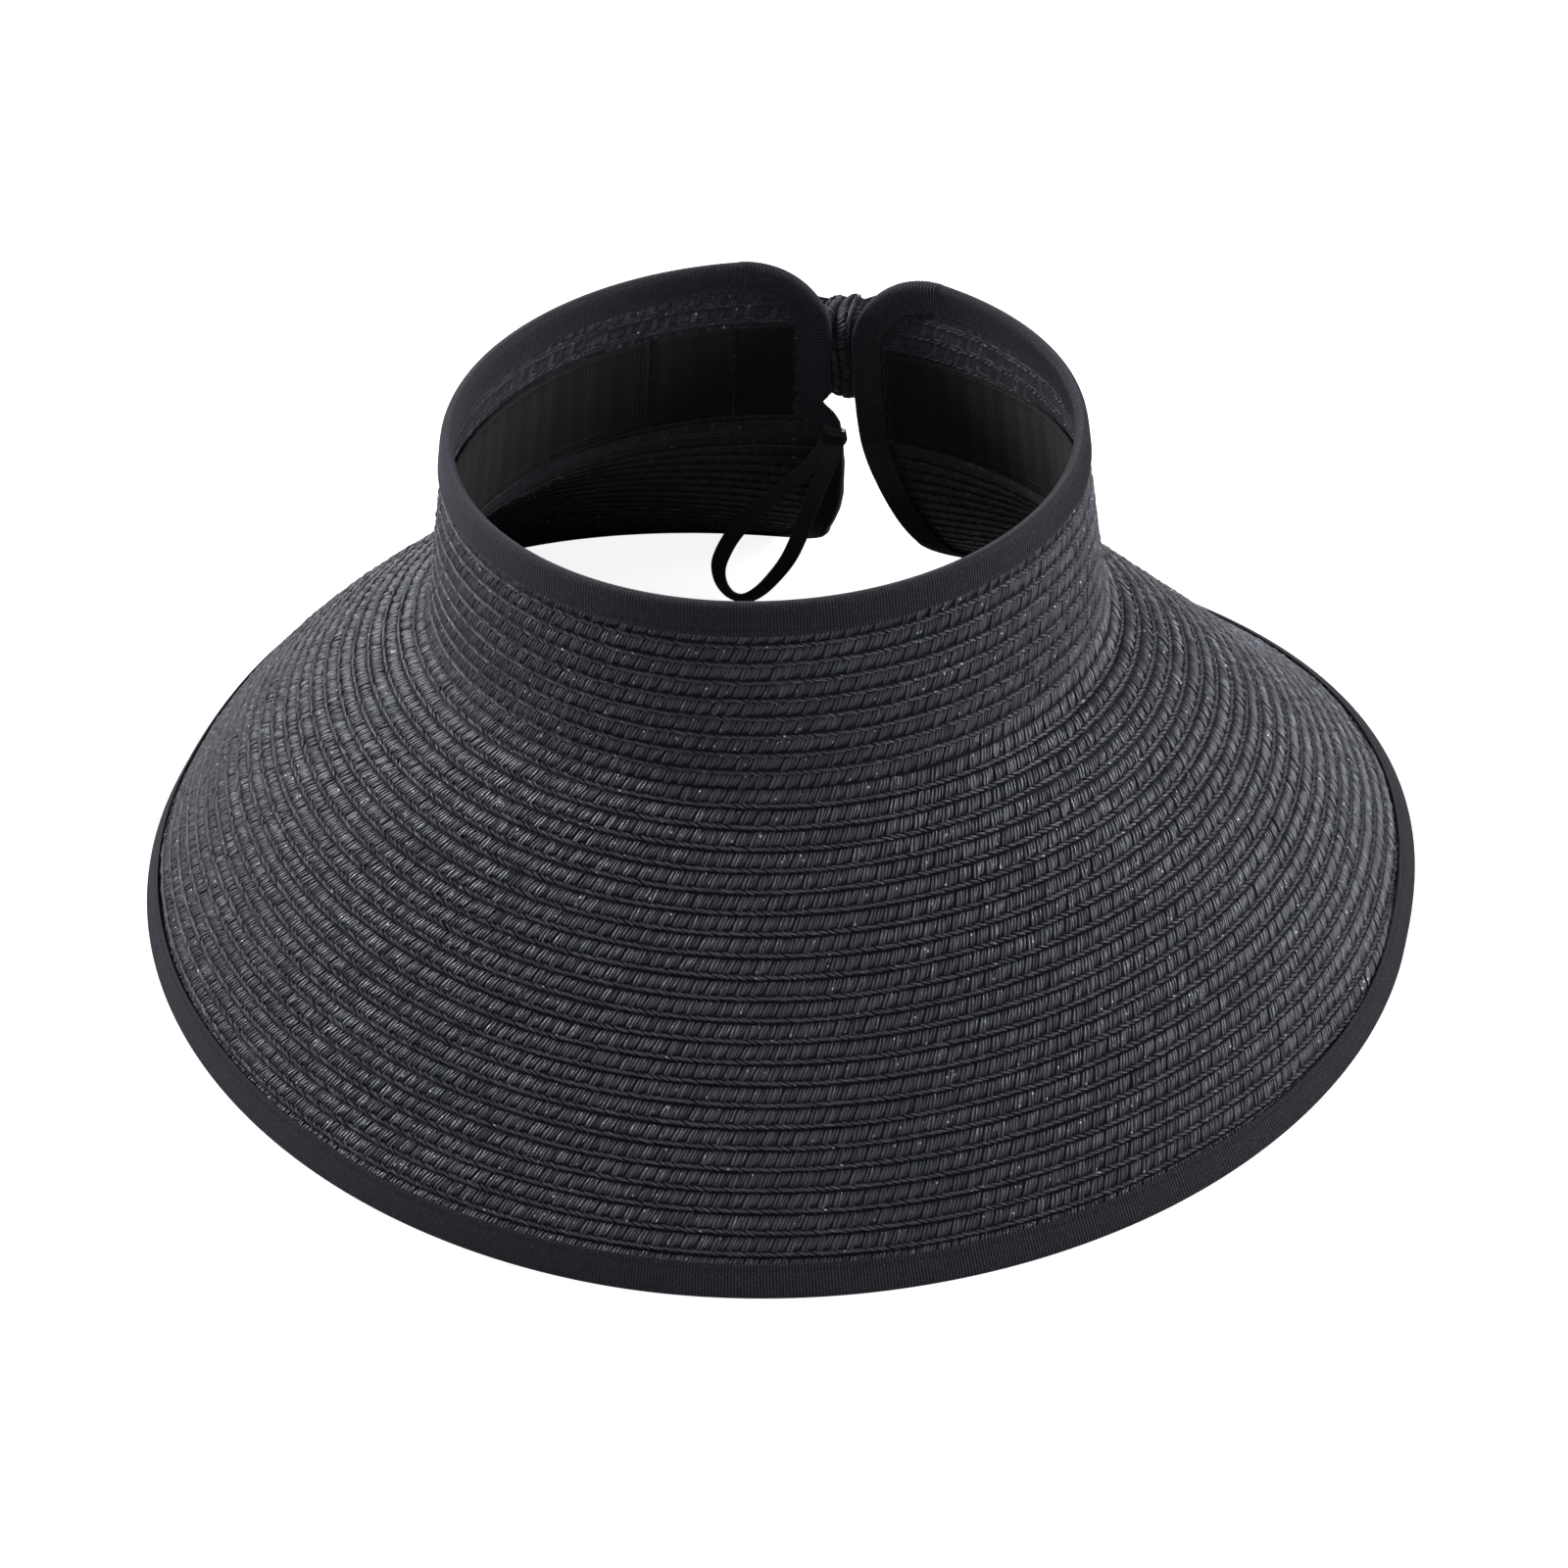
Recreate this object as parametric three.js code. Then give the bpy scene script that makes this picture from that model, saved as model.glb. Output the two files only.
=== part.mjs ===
import * as THREE from 'three';

// Open-crown roll-up sun visor sewn from rows of flat braid, millimetres, +Z up.
// The visor stands on its brim's rim in the plane Z = 0 and the wearer faces -Y.
// The shell is C-shaped, with its gap centred on +Y.
// "Right" in the mesh names is the +X side, which is the wearer's left.
//
// Places on the shell are given by three values:
//   deg  angle round the head from the front, positive towards +X
//   arc  arc length from the fold, negative up the crown and positive down the brim
//   off  offset from the mid surface, positive outwards (upwards on the brim)

// ---- driving dimensions ----
const STEP_DEG = 10;             // angular step of every strip round the head
// crown opening (top edge), an ellipse that leans with the crown
const TOP_HALF_X = 82.4;
const TOP_HALF_Y = 86.5;
const TOP_SHIFT_Y = 5.7;
const TOP_LEAN_DEG = 6.3;
// fold between crown and brim
const FOLD_HALF_X = 90.1;
const FOLD_HALF_Y = 89.6;
const FOLD_HEIGHT = 88.7;
const FOLD_LEAN_DEG = 7.6;
const CROWN_RISE = 56.0;         // top edge above the fold, both taken at Y = 0
const FOLD_BLEND = 7.0;          // length either side over which the fold is rounded
// rim, lying in Z = 0
const RIM_HALF_X = 175.3;
const RIM_FRONT_Y = 161.6;
const RIM_BACK_Y = 150.7;
const RIM_SHIFT_Y = -9.7;
const RIM_FRONT_POWER = 1.96;
const RIM_BACK_POWER = 2.44;
// how far the brim bellies out of the straight line from fold to rim
const BELLY_FRONT = 0.3;
const BELLY_SIDE = 8.2;
const BELLY_BACK = -9.0;
// segments along one meridian
const CROWN_STEPS = 24;
const BLEND_STEPS = 16;
const BRIM_STEPS = 48;
// braid
const BRAID_PITCH = 5.4;         // one sewn row of braid on the brim
const BRAID_THICK = 1.8;
const ROW_GAP = 0.3;
const CROWN_ROWS = 10;
const BRIM_ROWS = 23;
const MIN_ROW_WIDTH = 1.3;       // a brim row stops where the rim leaves it less than this
// folded edge tape
const TAPE_LEG = 9.0;
const TAPE_THICK = 0.6;
const TAPE_CLEAR = 0.3;
const TAPE_HALF = BRAID_THICK / 2 + TAPE_CLEAR + TAPE_THICK;
const TAPE_BEVEL = 0.6;          // length of the bevel on the folded edge
const TAPE_NOSE = 0.55;          // width of the folded edge as a part of the full thickness
const RIM_CAVITY = 4.5;          // solid depth of the folded tape where it rests on the rim
const TOP_CAVITY = 0.9;
// back opening
const END_HALF_GAP = 2.6;        // half of the gap between the crown ends
const END_FLARE = 0.130;         // widening of each half of the gap per mm down the brim
const FLARE_FROM = 0;            // arc where the gap starts to widen
const TOP_CORNER_R = 26;
const RIM_CORNER_R = 40;
const TOP_CORNER_DEG = 176;      // meridians whose lengths place the corners
const RIM_CORNER_DEG = 164;
const CORNER_STEPS = 12;
// clearance from the opening to the braid's ends, larger high on the crown
const END_CLEAR_HIGH = 1.8;
const END_CLEAR_LOW = 1.3;
const END_CLEAR_SPLIT = -20;
const ROW_END_DEG = 170;         // meridian where a row's arcs are read to find its ends
// clear space between layers laid one on another
const LAYER_GAP = 0.3;
const SURFACE_LIFT = BRAID_THICK / 2 + LAYER_GAP;
// sweatband inside the crown
const BAND_TOP = 20.4;           // below the top edge
const BAND_BOTTOM = 49.8;
const BAND_DROP = 5.4;           // the band runs a little lower towards its +X end
const BAND_DROP_FROM_DEG = 110;
const BAND_DROP_TO_DEG = 170;
const BAND_THICK = 1.0;
// closure at the back
const CLOSURE_ARC = -22.0;       // centre line of the strap
const PATCH_HALF = 9.2;
const PATCH_THICK = 1.2;
const HOOK_MARGIN = 1.2;         // strap left bare above and below the hook patch
const HOOK_LIFT = SURFACE_LIFT + PATCH_THICK + LAYER_GAP;
const STRAP_HALF = 8.4;
const STRAP_THICK = 1.2;
const STRAP_LIFT = HOOK_LIFT + PATCH_THICK + LAYER_GAP;
const STRAP_SEWN_LIFT = 1.3;
// bow
const BOW_RISE = 2.0;            // middle of the bow above the middle of the strap
const KNOT_HALF_X = 7.0;
const KNOT_HALF_Z = 15.6;
const KNOT_DEPTH = 13.0;
const KNOT_SIDES = 16;
const KNOT_CLEAR = 0.4;          // from the strap to the knot
const LOBE_CLEAR = 0.9;          // from the strap to the zero of the lobe's path
const LOBE_THICK = 1.8;
const LOBE_DROOP = 0.04;         // fall of a lobe per mm of X
// elastic storage loop
const CORD_WIDE = 5.0;
const CORD_THICK = 1.6;
const CORD_START_Y = 86.3;       // the two ends of the loop lie one over the other at its root
const CORD_END_Y = 84.3;
const CORD_STEPS = 44;
const CORD_SIDES = 8;

const COLORS = { straw: 0x2b2b30, tape: 0x1c1d22, knit: 0x141416, cord: 0x0e0e10 };

const RAD = Math.PI / 180;
const { clamp, lerp, smoothstep } = THREE.MathUtils;
const vec = (x, y, z) => new THREE.Vector3(x, y, z);

// ---- the shell's mid surface ----
function topEdge(angle) {
  const y = TOP_SHIFT_Y - TOP_HALF_Y * Math.cos(angle);
  const z = FOLD_HEIGHT + CROWN_RISE - Math.tan(TOP_LEAN_DEG * RAD) * y;
  return vec(TOP_HALF_X * Math.sin(angle), y, z);
}

function foldEdge(angle) {
  const y = -FOLD_HALF_Y * Math.cos(angle);
  const z = FOLD_HEIGHT - Math.tan(FOLD_LEAN_DEG * RAD) * y;
  return vec(FOLD_HALF_X * Math.sin(angle), y, z);
}

// front and back halves are superellipses of different power
function rimEdge(angle) {
  const sin = Math.sin(angle);
  const cos = Math.cos(angle);
  const front = cos > 0;
  const power = front ? RIM_FRONT_POWER : RIM_BACK_POWER;
  const halfY = front ? RIM_FRONT_Y : RIM_BACK_Y;
  const radius = Math.pow(Math.abs(sin) ** power + Math.abs(cos) ** power, -1 / power);
  return vec(RIM_HALF_X * radius * sin, RIM_SHIFT_Y - halfY * radius * cos, 0);
}

function belly(angle) {
  const cos = Math.cos(angle);
  const tilt = (BELLY_FRONT - BELLY_BACK) / 2;
  const bend = (BELLY_FRONT + BELLY_BACK) / 2 - BELLY_SIDE;
  return BELLY_SIDE + tilt * cos + bend * cos * cos;
}

// a fine polyline from the top edge over the fold to the rim, with the arc at each point
function buildMeridian(angle) {
  const fold = foldEdge(angle);
  const rise = topEdge(angle).sub(fold);
  const run = rimEdge(angle).sub(fold);
  const flatRun = Math.hypot(run.x, run.y);
  const runLength = run.length();
  const normal = vec(run.x / flatRun, run.y / flatRun, 0)
    .multiplyScalar(-run.z / runLength)
    .add(vec(0, 0, flatRun / runLength));
  const bulge = belly(angle);
  const crownAt = (part) => fold.clone().addScaledVector(rise, part);
  const brimAt = (part) => fold.clone()
    .addScaledVector(run, part)
    .addScaledVector(normal, 4 * bulge * part * (1 - part));

  const crownBlend = FOLD_BLEND / rise.length();
  const brimBlend = FOLD_BLEND / runLength;
  const points = [];
  for (let i = 0; i < CROWN_STEPS; i++) {
    points.push(crownAt(1 + (crownBlend - 1) * (i / CROWN_STEPS)));
  }
  const blendStart = crownAt(crownBlend);
  const blendEnd = brimAt(brimBlend);
  for (let i = 0; i <= BLEND_STEPS; i++) {
    const part = i / BLEND_STEPS;
    points.push(blendStart.clone()
      .multiplyScalar((1 - part) * (1 - part))
      .addScaledVector(fold, 2 * part * (1 - part))
      .addScaledVector(blendEnd, part * part));
  }
  for (let i = 1; i <= BRIM_STEPS; i++) {
    points.push(brimAt(brimBlend + (1 - brimBlend) * (i / BRIM_STEPS)));
  }

  const travelled = [0];
  for (let i = 1; i < points.length; i++) {
    travelled.push(travelled[i - 1] + points[i].distanceTo(points[i - 1]));
  }
  const atFold = travelled[CROWN_STEPS + BLEND_STEPS / 2];
  return { points, arcs: travelled.map((length) => length - atFold) };
}

const meridians = new Map();
function meridian(deg) {
  if (!meridians.has(deg)) meridians.set(deg, buildMeridian(deg * RAD));
  return meridians.get(deg);
}

function meridianPoint(deg, arc) {
  const { points, arcs } = meridian(deg);
  let i = 1;
  while (i < arcs.length - 1 && arcs[i] < arc) i++;
  const part = (arc - arcs[i - 1]) / (arcs[i] - arcs[i - 1]);
  return points[i - 1].clone().lerp(points[i], part);
}

function normalAt(deg, arc) {
  const round = meridianPoint(deg + 1, arc).sub(meridianPoint(deg - 1, arc));
  const down = meridianPoint(deg, arc + 0.8).sub(meridianPoint(deg, arc - 0.8));
  return down.cross(round).normalize();
}

const gridPoints = new Map();
function gridPoint(index, arc, off) {
  const key = index + '|' + arc.toFixed(4);
  if (!gridPoints.has(key)) {
    const deg = index * STEP_DEG;
    gridPoints.set(key, { point: meridianPoint(deg, arc), normal: normalAt(deg, arc) });
  }
  const { point, normal } = gridPoints.get(key);
  return point.clone().addScaledVector(normal, off);
}

// the grid meridian at or before deg, and the part of a step beyond it
function gridPlace(deg) {
  const index = Math.floor(deg / STEP_DEG + 1e-9);
  return [index, deg / STEP_DEG - index];
}

// every point of the shell lies on the chords between grid meridians
function shellPoint(deg, arc, off) {
  const [index, part] = gridPlace(deg);
  const point = gridPoint(index, arc, off);
  return part < 1e-6 ? point : point.lerp(gridPoint(index + 1, arc, off), part);
}

function edgeArc(deg, end) {
  const [index, part] = gridPlace(deg);
  const arcOf = (i) => meridian(i * STEP_DEG).arcs.at(end);
  return arcOf(index) * (1 - part) + arcOf(index + 1) * part;
}
const topArc = (deg) => edgeArc(deg, 0);
const rimArc = (deg) => edgeArc(deg, -1);

// ---- outline of the back opening, in (side = distance from the centre plane, arc) ----
const straightGap = (arc) => END_HALF_GAP + END_FLARE * Math.max(0, arc - FLARE_FROM);

// towards is the sign of the arc direction from the corner's centre to the shell's edge
function roundCorner(edge, radius, towards) {
  const arc = edge - towards * radius;
  return { edge, radius, towards, arc, side: straightGap(arc) + radius };
}
const TOP_CORNER = roundCorner(topArc(TOP_CORNER_DEG), TOP_CORNER_R, -1);
const RIM_CORNER = roundCorner(rimArc(RIM_CORNER_DEG), RIM_CORNER_R, 1);

function gapAt(arc, clear) {
  const corner = [TOP_CORNER, RIM_CORNER].find((c) => (arc - c.arc) * c.towards > 0);
  if (!corner) return straightGap(arc) + clear;
  const radius = corner.radius - clear;
  return corner.side - Math.sqrt(Math.max(0, radius * radius - (arc - corner.arc) ** 2));
}

// angle on the +X side where the surface is this far from the centre plane
function angleFor(side, arc) {
  let low = 120;
  let high = 180;
  for (let i = 0; i < 40; i++) {
    const middle = (low + high) / 2;
    if (shellPoint(middle, arc, 0).x > side) low = middle;
    else high = middle;
  }
  return (low + high) / 2;
}
const openingPoint = (side, arc, off) => (
  shellPoint(angleFor(Math.max(side, 0.01), arc), arc, off)
);

// ---- solids from stacked cross-sections ----
const mirrorAll = (sections) => sections.map((s) => s.map((p) => vec(-p.x, p.y, p.z)));
// sections run from the front meridian to the +X end; the result runs from end to end
const bothSides = (sections) => mirrorAll(sections.slice(1)).reverse().concat(sections);

// triangles that fill one section, wound the way its points run
function capTriangles(section) {
  const origin = section[0];
  const first = section[1].clone().sub(origin);
  const second = section.slice(2)
    .map((point) => point.clone().sub(origin))
    .find((edge) => first.clone().cross(edge).length() > 1e-3);
  const normal = first.clone().cross(second).normalize();
  const axisX = first.clone().normalize();
  const axisY = normal.clone().cross(axisX);
  const flat = section.map((point) => {
    const from = point.clone().sub(origin);
    return new THREE.Vector2(from.dot(axisX), from.dot(axisY));
  });
  const counterClockwise = !THREE.ShapeUtils.isClockWise(flat);
  return THREE.ShapeUtils.triangulateShape(flat, []).map((triangle) => {
    const [a, b, c] = triangle.map((i) => flat[i]);
    const turnsLeft = (b.x - a.x) * (c.y - a.y) - (b.y - a.y) * (c.x - a.x) > 0;
    return turnsLeft === counterClockwise ? triangle : [...triangle].reverse();
  });
}

function sweep(name, sections, color) {
  const count = sections[0].length;
  const points = sections.flat();
  const triangles = [];
  for (let i = 0; i < sections.length - 1; i++) {
    const here = i * count;
    const next = here + count;
    for (let k = 0; k < count; k++) {
      const k2 = (k + 1) % count;
      triangles.push([here + k, next + k, next + k2], [here + k, next + k2, here + k2]);
    }
  }
  const lastStart = (sections.length - 1) * count;
  for (const triangle of capTriangles(sections[0])) triangles.push(triangle);
  for (const triangle of capTriangles(sections.at(-1))) {
    triangles.push(triangle.map((i) => lastStart + i).reverse());
  }

  // a negative volume means that the faces point inwards
  let volume = 0;
  for (const [a, b, c] of triangles) {
    volume += points[a].dot(points[b].clone().cross(points[c]));
  }
  const outward = volume < 0 ? triangles.map(([a, b, c]) => [a, c, b]) : triangles;

  const geometry = new THREE.BufferGeometry();
  const coordinates = points.flatMap((point) => point.toArray());
  geometry.setAttribute('position', new THREE.Float32BufferAttribute(coordinates, 3));
  geometry.setIndex(outward.flat());
  geometry.computeVertexNormals();
  const material = new THREE.MeshStandardMaterial({ color, roughness: 0.9 });
  const mesh = new THREE.Mesh(geometry, material);
  mesh.name = name;
  return mesh;
}

// ---- rows of braid ----
// the braid stays further from the opening where the tape's solid depth grows at the rim corner
function endClear(arc) {
  const base = arc < END_CLEAR_SPLIT ? END_CLEAR_HIGH : END_CLEAR_LOW;
  const growth = clamp((arc - RIM_CORNER.arc + 1) / 3, 0, 1);
  return base + (RIM_CAVITY - TOP_CAVITY + TAPE_CLEAR) * growth;
}

// upperAt and lowerAt give the arcs of the row's edges at an angle;
// the ends stop inside the edge tape unless stopDeg ends the row earlier
function braidRow(name, upperAt, lowerAt, stopDeg) {
  const half = BRAID_THICK / 2;
  const section = (upperDeg, lowerDeg) => {
    const upper = upperAt(upperDeg);
    const lower = lowerAt(lowerDeg);
    return [
      shellPoint(upperDeg, upper, -half), shellPoint(upperDeg, upper, half),
      shellPoint(lowerDeg, lower, half), shellPoint(lowerDeg, lower, -half),
    ];
  };
  const endOf = (arc) => stopDeg ?? angleFor(gapAt(arc, endClear(arc)), arc);
  const upperEnd = endOf(upperAt(ROW_END_DEG));
  const lowerEnd = endOf(lowerAt(ROW_END_DEG));

  // an edge that stops before the next meridian waits just short of its end
  // while the other edge runs on
  const sections = [];
  let wait = 0.5;
  for (let deg = 0; deg < Math.max(upperEnd, lowerEnd) - 0.3; deg += STEP_DEG) {
    const upperDeg = deg < upperEnd - 0.3 ? deg : upperEnd - wait;
    const lowerDeg = deg < lowerEnd - 0.3 ? deg : lowerEnd - wait;
    if (upperDeg !== deg || lowerDeg !== deg) wait -= 0.2;
    sections.push(section(upperDeg, lowerDeg));
  }
  sections.push(section(upperEnd, lowerEnd));
  return sweep(name, bothSides(sections), COLORS.straw);
}

const rowNumber = (index) => String(index + 1).padStart(2, '0');

// the crown rows share the height between the tape's solid edge and the fold
function crownRow(index) {
  const edge = (deg, rowsDown) => {
    const start = topArc(deg) + TOP_CAVITY + TAPE_CLEAR;
    return start - start * (rowsDown / CROWN_ROWS);
  };
  return braidRow(
    'crown_braid_row_' + rowNumber(index),
    (deg) => edge(deg, index) + ROW_GAP / 2,
    (deg) => edge(deg, index + 1) - ROW_GAP / 2,
  );
}

// the brim rows keep their pitch, and the outer ones are cut by the rim
function brimRow(index) {
  const upper = index * BRAID_PITCH + ROW_GAP / 2;
  const lower = (index + 1) * BRAID_PITCH - ROW_GAP / 2;
  const limit = (deg) => rimArc(deg) - RIM_CAVITY - TAPE_CLEAR;
  const tooNarrow = (deg) => limit(deg) < upper + MIN_ROW_WIDTH;
  let stopDeg;
  if (tooNarrow(176)) {
    stopDeg = 178;
    while (tooNarrow(stopDeg)) stopDeg -= 0.25;
  }
  const name = 'brim_braid_row_' + rowNumber(index);
  return braidRow(name, () => upper, (deg) => Math.min(lower, limit(deg)), stopDeg);
}

// ---- edge tape: a folded strip whose two legs lie either side of the braid ----
// at(inset, off) gives a point inset from the shell's edge;
// where the tape rests on the ground its folded edge is flattened to Z = 0
function tapeSection(at, cavity, rests = false) {
  const outer = TAPE_HALF;
  const inner = outer - TAPE_THICK;
  let bevel = TAPE_BEVEL;
  if (rests) while (at(bevel, -outer).z < 0) bevel += 0.02;
  const section = [
    at(TAPE_LEG, outer), at(TAPE_BEVEL, outer),
    at(0, outer * TAPE_NOSE), at(0, -outer * TAPE_NOSE),
    at(bevel, -outer), at(TAPE_LEG, -outer),
    at(TAPE_LEG, -inner), at(cavity, -inner), at(cavity, inner), at(TAPE_LEG, inner),
  ];
  if (rests) {
    section[3].z = 0;
    section[4].z = 0;
  }
  for (const point of section) if (point.z < 0) point.z = 0;
  return section;
}

function cornerTape(corner, step, cavity, rests) {
  const turn = (step / CORNER_STEPS) * 90 * RAD;
  const at = (inset, off) => {
    const radius = corner.radius - inset;
    const side = corner.side - Math.sin(turn) * radius;
    const arc = corner.arc + corner.towards * Math.cos(turn) * radius;
    return openingPoint(side, arc, off);
  };
  return tapeSection(at, cavity, rests);
}

function endTape(arc) {
  const at = (inset, off) => openingPoint(straightGap(arc) + inset, arc, off);
  return tapeSection(at, TOP_CAVITY);
}

function crownTape() {
  const sections = [];
  const stop = angleFor(TOP_CORNER.side, TOP_CORNER.edge);
  for (let deg = 0; deg < stop - 0.25; deg += STEP_DEG) {
    const at = (inset, off) => shellPoint(deg, topArc(deg) + inset, off);
    sections.push(tapeSection(at, TOP_CAVITY));
  }
  for (let i = 0; i <= CORNER_STEPS; i++) {
    sections.push(cornerTape(TOP_CORNER, i, TOP_CAVITY));
  }
  for (const arc of [-26, -20, -12, -6, -1.2]) sections.push(endTape(arc));
  return sweep('crown_edge_tape', bothSides(sections), COLORS.tape);
}

function brimTape() {
  const sections = [];
  const addRim = (deg) => {
    const at = (inset, off) => shellPoint(deg, rimArc(deg) - inset, off);
    sections.push(tapeSection(at, RIM_CAVITY, true));
  };
  const stop = angleFor(RIM_CORNER.side, RIM_CORNER.edge);
  for (let deg = 0; deg < stop - 0.25; deg += STEP_DEG) addRim(deg);
  addRim(stop);
  for (let i = 1; i <= CORNER_STEPS; i++) {
    const cavity = i < CORNER_STEPS ? RIM_CAVITY : TOP_CAVITY;
    sections.push(cornerTape(RIM_CORNER, i, cavity, i < 2));
  }
  for (const arc of [54, 46, 37, 28, 19, 10, 5, FLARE_FROM, -0.9]) sections.push(endTape(arc));
  return sweep('brim_edge_tape', bothSides(sections), COLORS.tape);
}

// ---- curved strips that follow the crown ----
// top and bottom are arcs and inner is the offset of the inner face, each a function of the angle
function strip(name, degs, { top, bottom, inner, thick, color }) {
  const sections = degs.map((deg) => {
    const near = inner(deg);
    const far = near + thick;
    return [
      shellPoint(deg, top(deg), near), shellPoint(deg, top(deg), far),
      shellPoint(deg, bottom(deg), far), shellPoint(deg, bottom(deg), near),
    ];
  });
  return sweep(name, sections, color);
}

// both ends and the grid meridians between them
function span(from, to) {
  const degs = [from];
  const firstGrid = Math.ceil((from + 0.5) / STEP_DEG) * STEP_DEG;
  for (let deg = firstGrid; deg < to - 0.5; deg += STEP_DEG) degs.push(deg);
  degs.push(to);
  return degs;
}

function sweatbandPanel(name, from, to) {
  const edge = (below) => (deg) => (
    topArc(deg) + below + BAND_DROP * smoothstep(deg, BAND_DROP_FROM_DEG, BAND_DROP_TO_DEG)
  );
  return strip(name, span(from, to), {
    top: edge(BAND_TOP),
    bottom: edge(BAND_BOTTOM),
    inner: () => -SURFACE_LIFT - BAND_THICK,
    thick: BAND_THICK,
    color: COLORS.knit,
  });
}

// ---- closure: patches on the +X crown end, strap sewn at the -X end ----
const degRight = (side) => angleFor(side, CLOSURE_ARC);
const degLeft = (side) => 360 - degRight(side);

function closurePatch(name, { farSide, nearSide, half, lift }) {
  return strip(name, span(degRight(farSide), degRight(nearSide)), {
    top: () => CLOSURE_ARC - half,
    bottom: () => CLOSURE_ARC + half,
    inner: () => lift,
    thick: PATCH_THICK,
    color: COLORS.cord,
  });
}

// the strap lies on the patches at its free end and comes down to the crown where it is sewn
function closureStrap() {
  const bendStart = degLeft(9);
  const bendEnd = degLeft(20);
  const end = degLeft(49);
  // sections stand where the strap bends and on every grid meridian that it crosses
  const degs = [degRight(36), degRight(12), degRight(5), 180, bendStart, bendEnd, end];
  for (let deg = Math.ceil(degs[0] / STEP_DEG) * STEP_DEG; deg < end; deg += STEP_DEG) {
    if (degs.every((other) => Math.abs(other - deg) > 0.4)) degs.push(deg);
  }
  degs.sort((a, b) => a - b);
  return strip('closure_strap', degs, {
    top: () => CLOSURE_ARC - STRAP_HALF,
    bottom: () => CLOSURE_ARC + STRAP_HALF,
    inner: (deg) => {
      const part = clamp((deg - bendStart) / (bendEnd - bendStart), 0, 1);
      return lerp(STRAP_LIFT, STRAP_SEWN_LIFT, part);
    },
    thick: STRAP_THICK,
    color: COLORS.straw,
  });
}

// ---- bow: gathered knot and two looped lobes ----
const STRAP_MIDDLE = shellPoint(180, CLOSURE_ARC, 0);
const BOW_Z = STRAP_MIDDLE.z + BOW_RISE;

// [radius, height], as parts of the knot's half sizes
const KNOT_PROFILE = [
  [0.55, -1], [0.9, -0.86], [1, -0.5], [0.9, 0], [1, 0.5], [0.9, 0.86], [0.55, 1],
];

function bowKnot() {
  const halfDepth = KNOT_DEPTH / 2;
  const centreY = STRAP_MIDDLE.y + STRAP_LIFT + STRAP_THICK + KNOT_CLEAR + halfDepth;
  const sections = KNOT_PROFILE.map(([radius, height]) => (
    Array.from({ length: KNOT_SIDES }, (_, i) => {
      const angle = (i / KNOT_SIDES) * 2 * Math.PI;
      return vec(
        KNOT_HALF_X * radius * Math.cos(angle),
        centreY + halfDepth * radius * Math.sin(angle),
        BOW_Z + KNOT_HALF_Z * height,
      );
    })
  ));
  return sweep('bow_knot', sections, COLORS.straw);
}

// [distance from the centre plane, outward from the strap, half height],
// out along the crown, round the tip and back to the knot
const LOBE_PATH = [
  [9.0, 3.6, 13.6], [14, 1.4, 14.8], [21, 0.6, 15.4], [28.5, 0.9, 15.4],
  [35.5, 2.6, 15.0], [41.5, 5.6, 14.2], [45, 10.0, 13.4], [42.6, 14.4, 13.0],
  [37, 17.0, 12.8], [29.5, 17.4, 12.8], [21.5, 15.4, 12.8], [14, 12.2, 12.6],
  [9.0, 9.2, 12.2],
];

// sections of the lobe on the +X side
function lobeSections() {
  const lift = STRAP_LIFT + STRAP_THICK + LOBE_CLEAR;
  const plan = LOBE_PATH.map(([side, outward]) => (
    shellPoint(degRight(side), CLOSURE_ARC, lift + outward).setZ(0)
  ));
  return plan.map((point, i) => {
    const before = plan[Math.max(0, i - 1)];
    const after = plan[Math.min(plan.length - 1, i + 1)];
    const along = after.clone().sub(before).normalize();
    const across = vec(-along.y, along.x, 0).multiplyScalar(LOBE_THICK / 2);
    const middle = BOW_Z - LOBE_DROOP * point.x;
    const halfHeight = LOBE_PATH[i][2];
    const left = point.clone().add(across);
    const right = point.clone().sub(across);
    return [
      vec(left.x, left.y, middle - halfHeight), vec(right.x, right.y, middle - halfHeight),
      vec(right.x, right.y, middle + halfHeight), vec(left.x, left.y, middle + halfHeight),
    ];
  });
}

// ---- elastic loop that holds the rolled-up visor, sewn at the -X end by the fold ----
// [x, z] along the cord's centre line
const CORD_PATH = [
  [-3.6, 82.5], [-5.2, 77.4], [-7.9, 72.2], [-12.4, 65.9], [-18.2, 59.6], [-24.0, 53.4],
  [-29.8, 46.7], [-34.9, 39.2], [-38.3, 32.0], [-39.6, 26.8], [-38.9, 21.6], [-36.2, 17.9],
  [-32.0, 17.3], [-27.3, 20.8], [-22.4, 27.2], [-18.1, 34.4], [-14.7, 42.6], [-11.9, 51.4],
  [-8.8, 60.3], [-5.4, 69.0], [-3.0, 75.7], [-1.8, 82.0],
];

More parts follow.
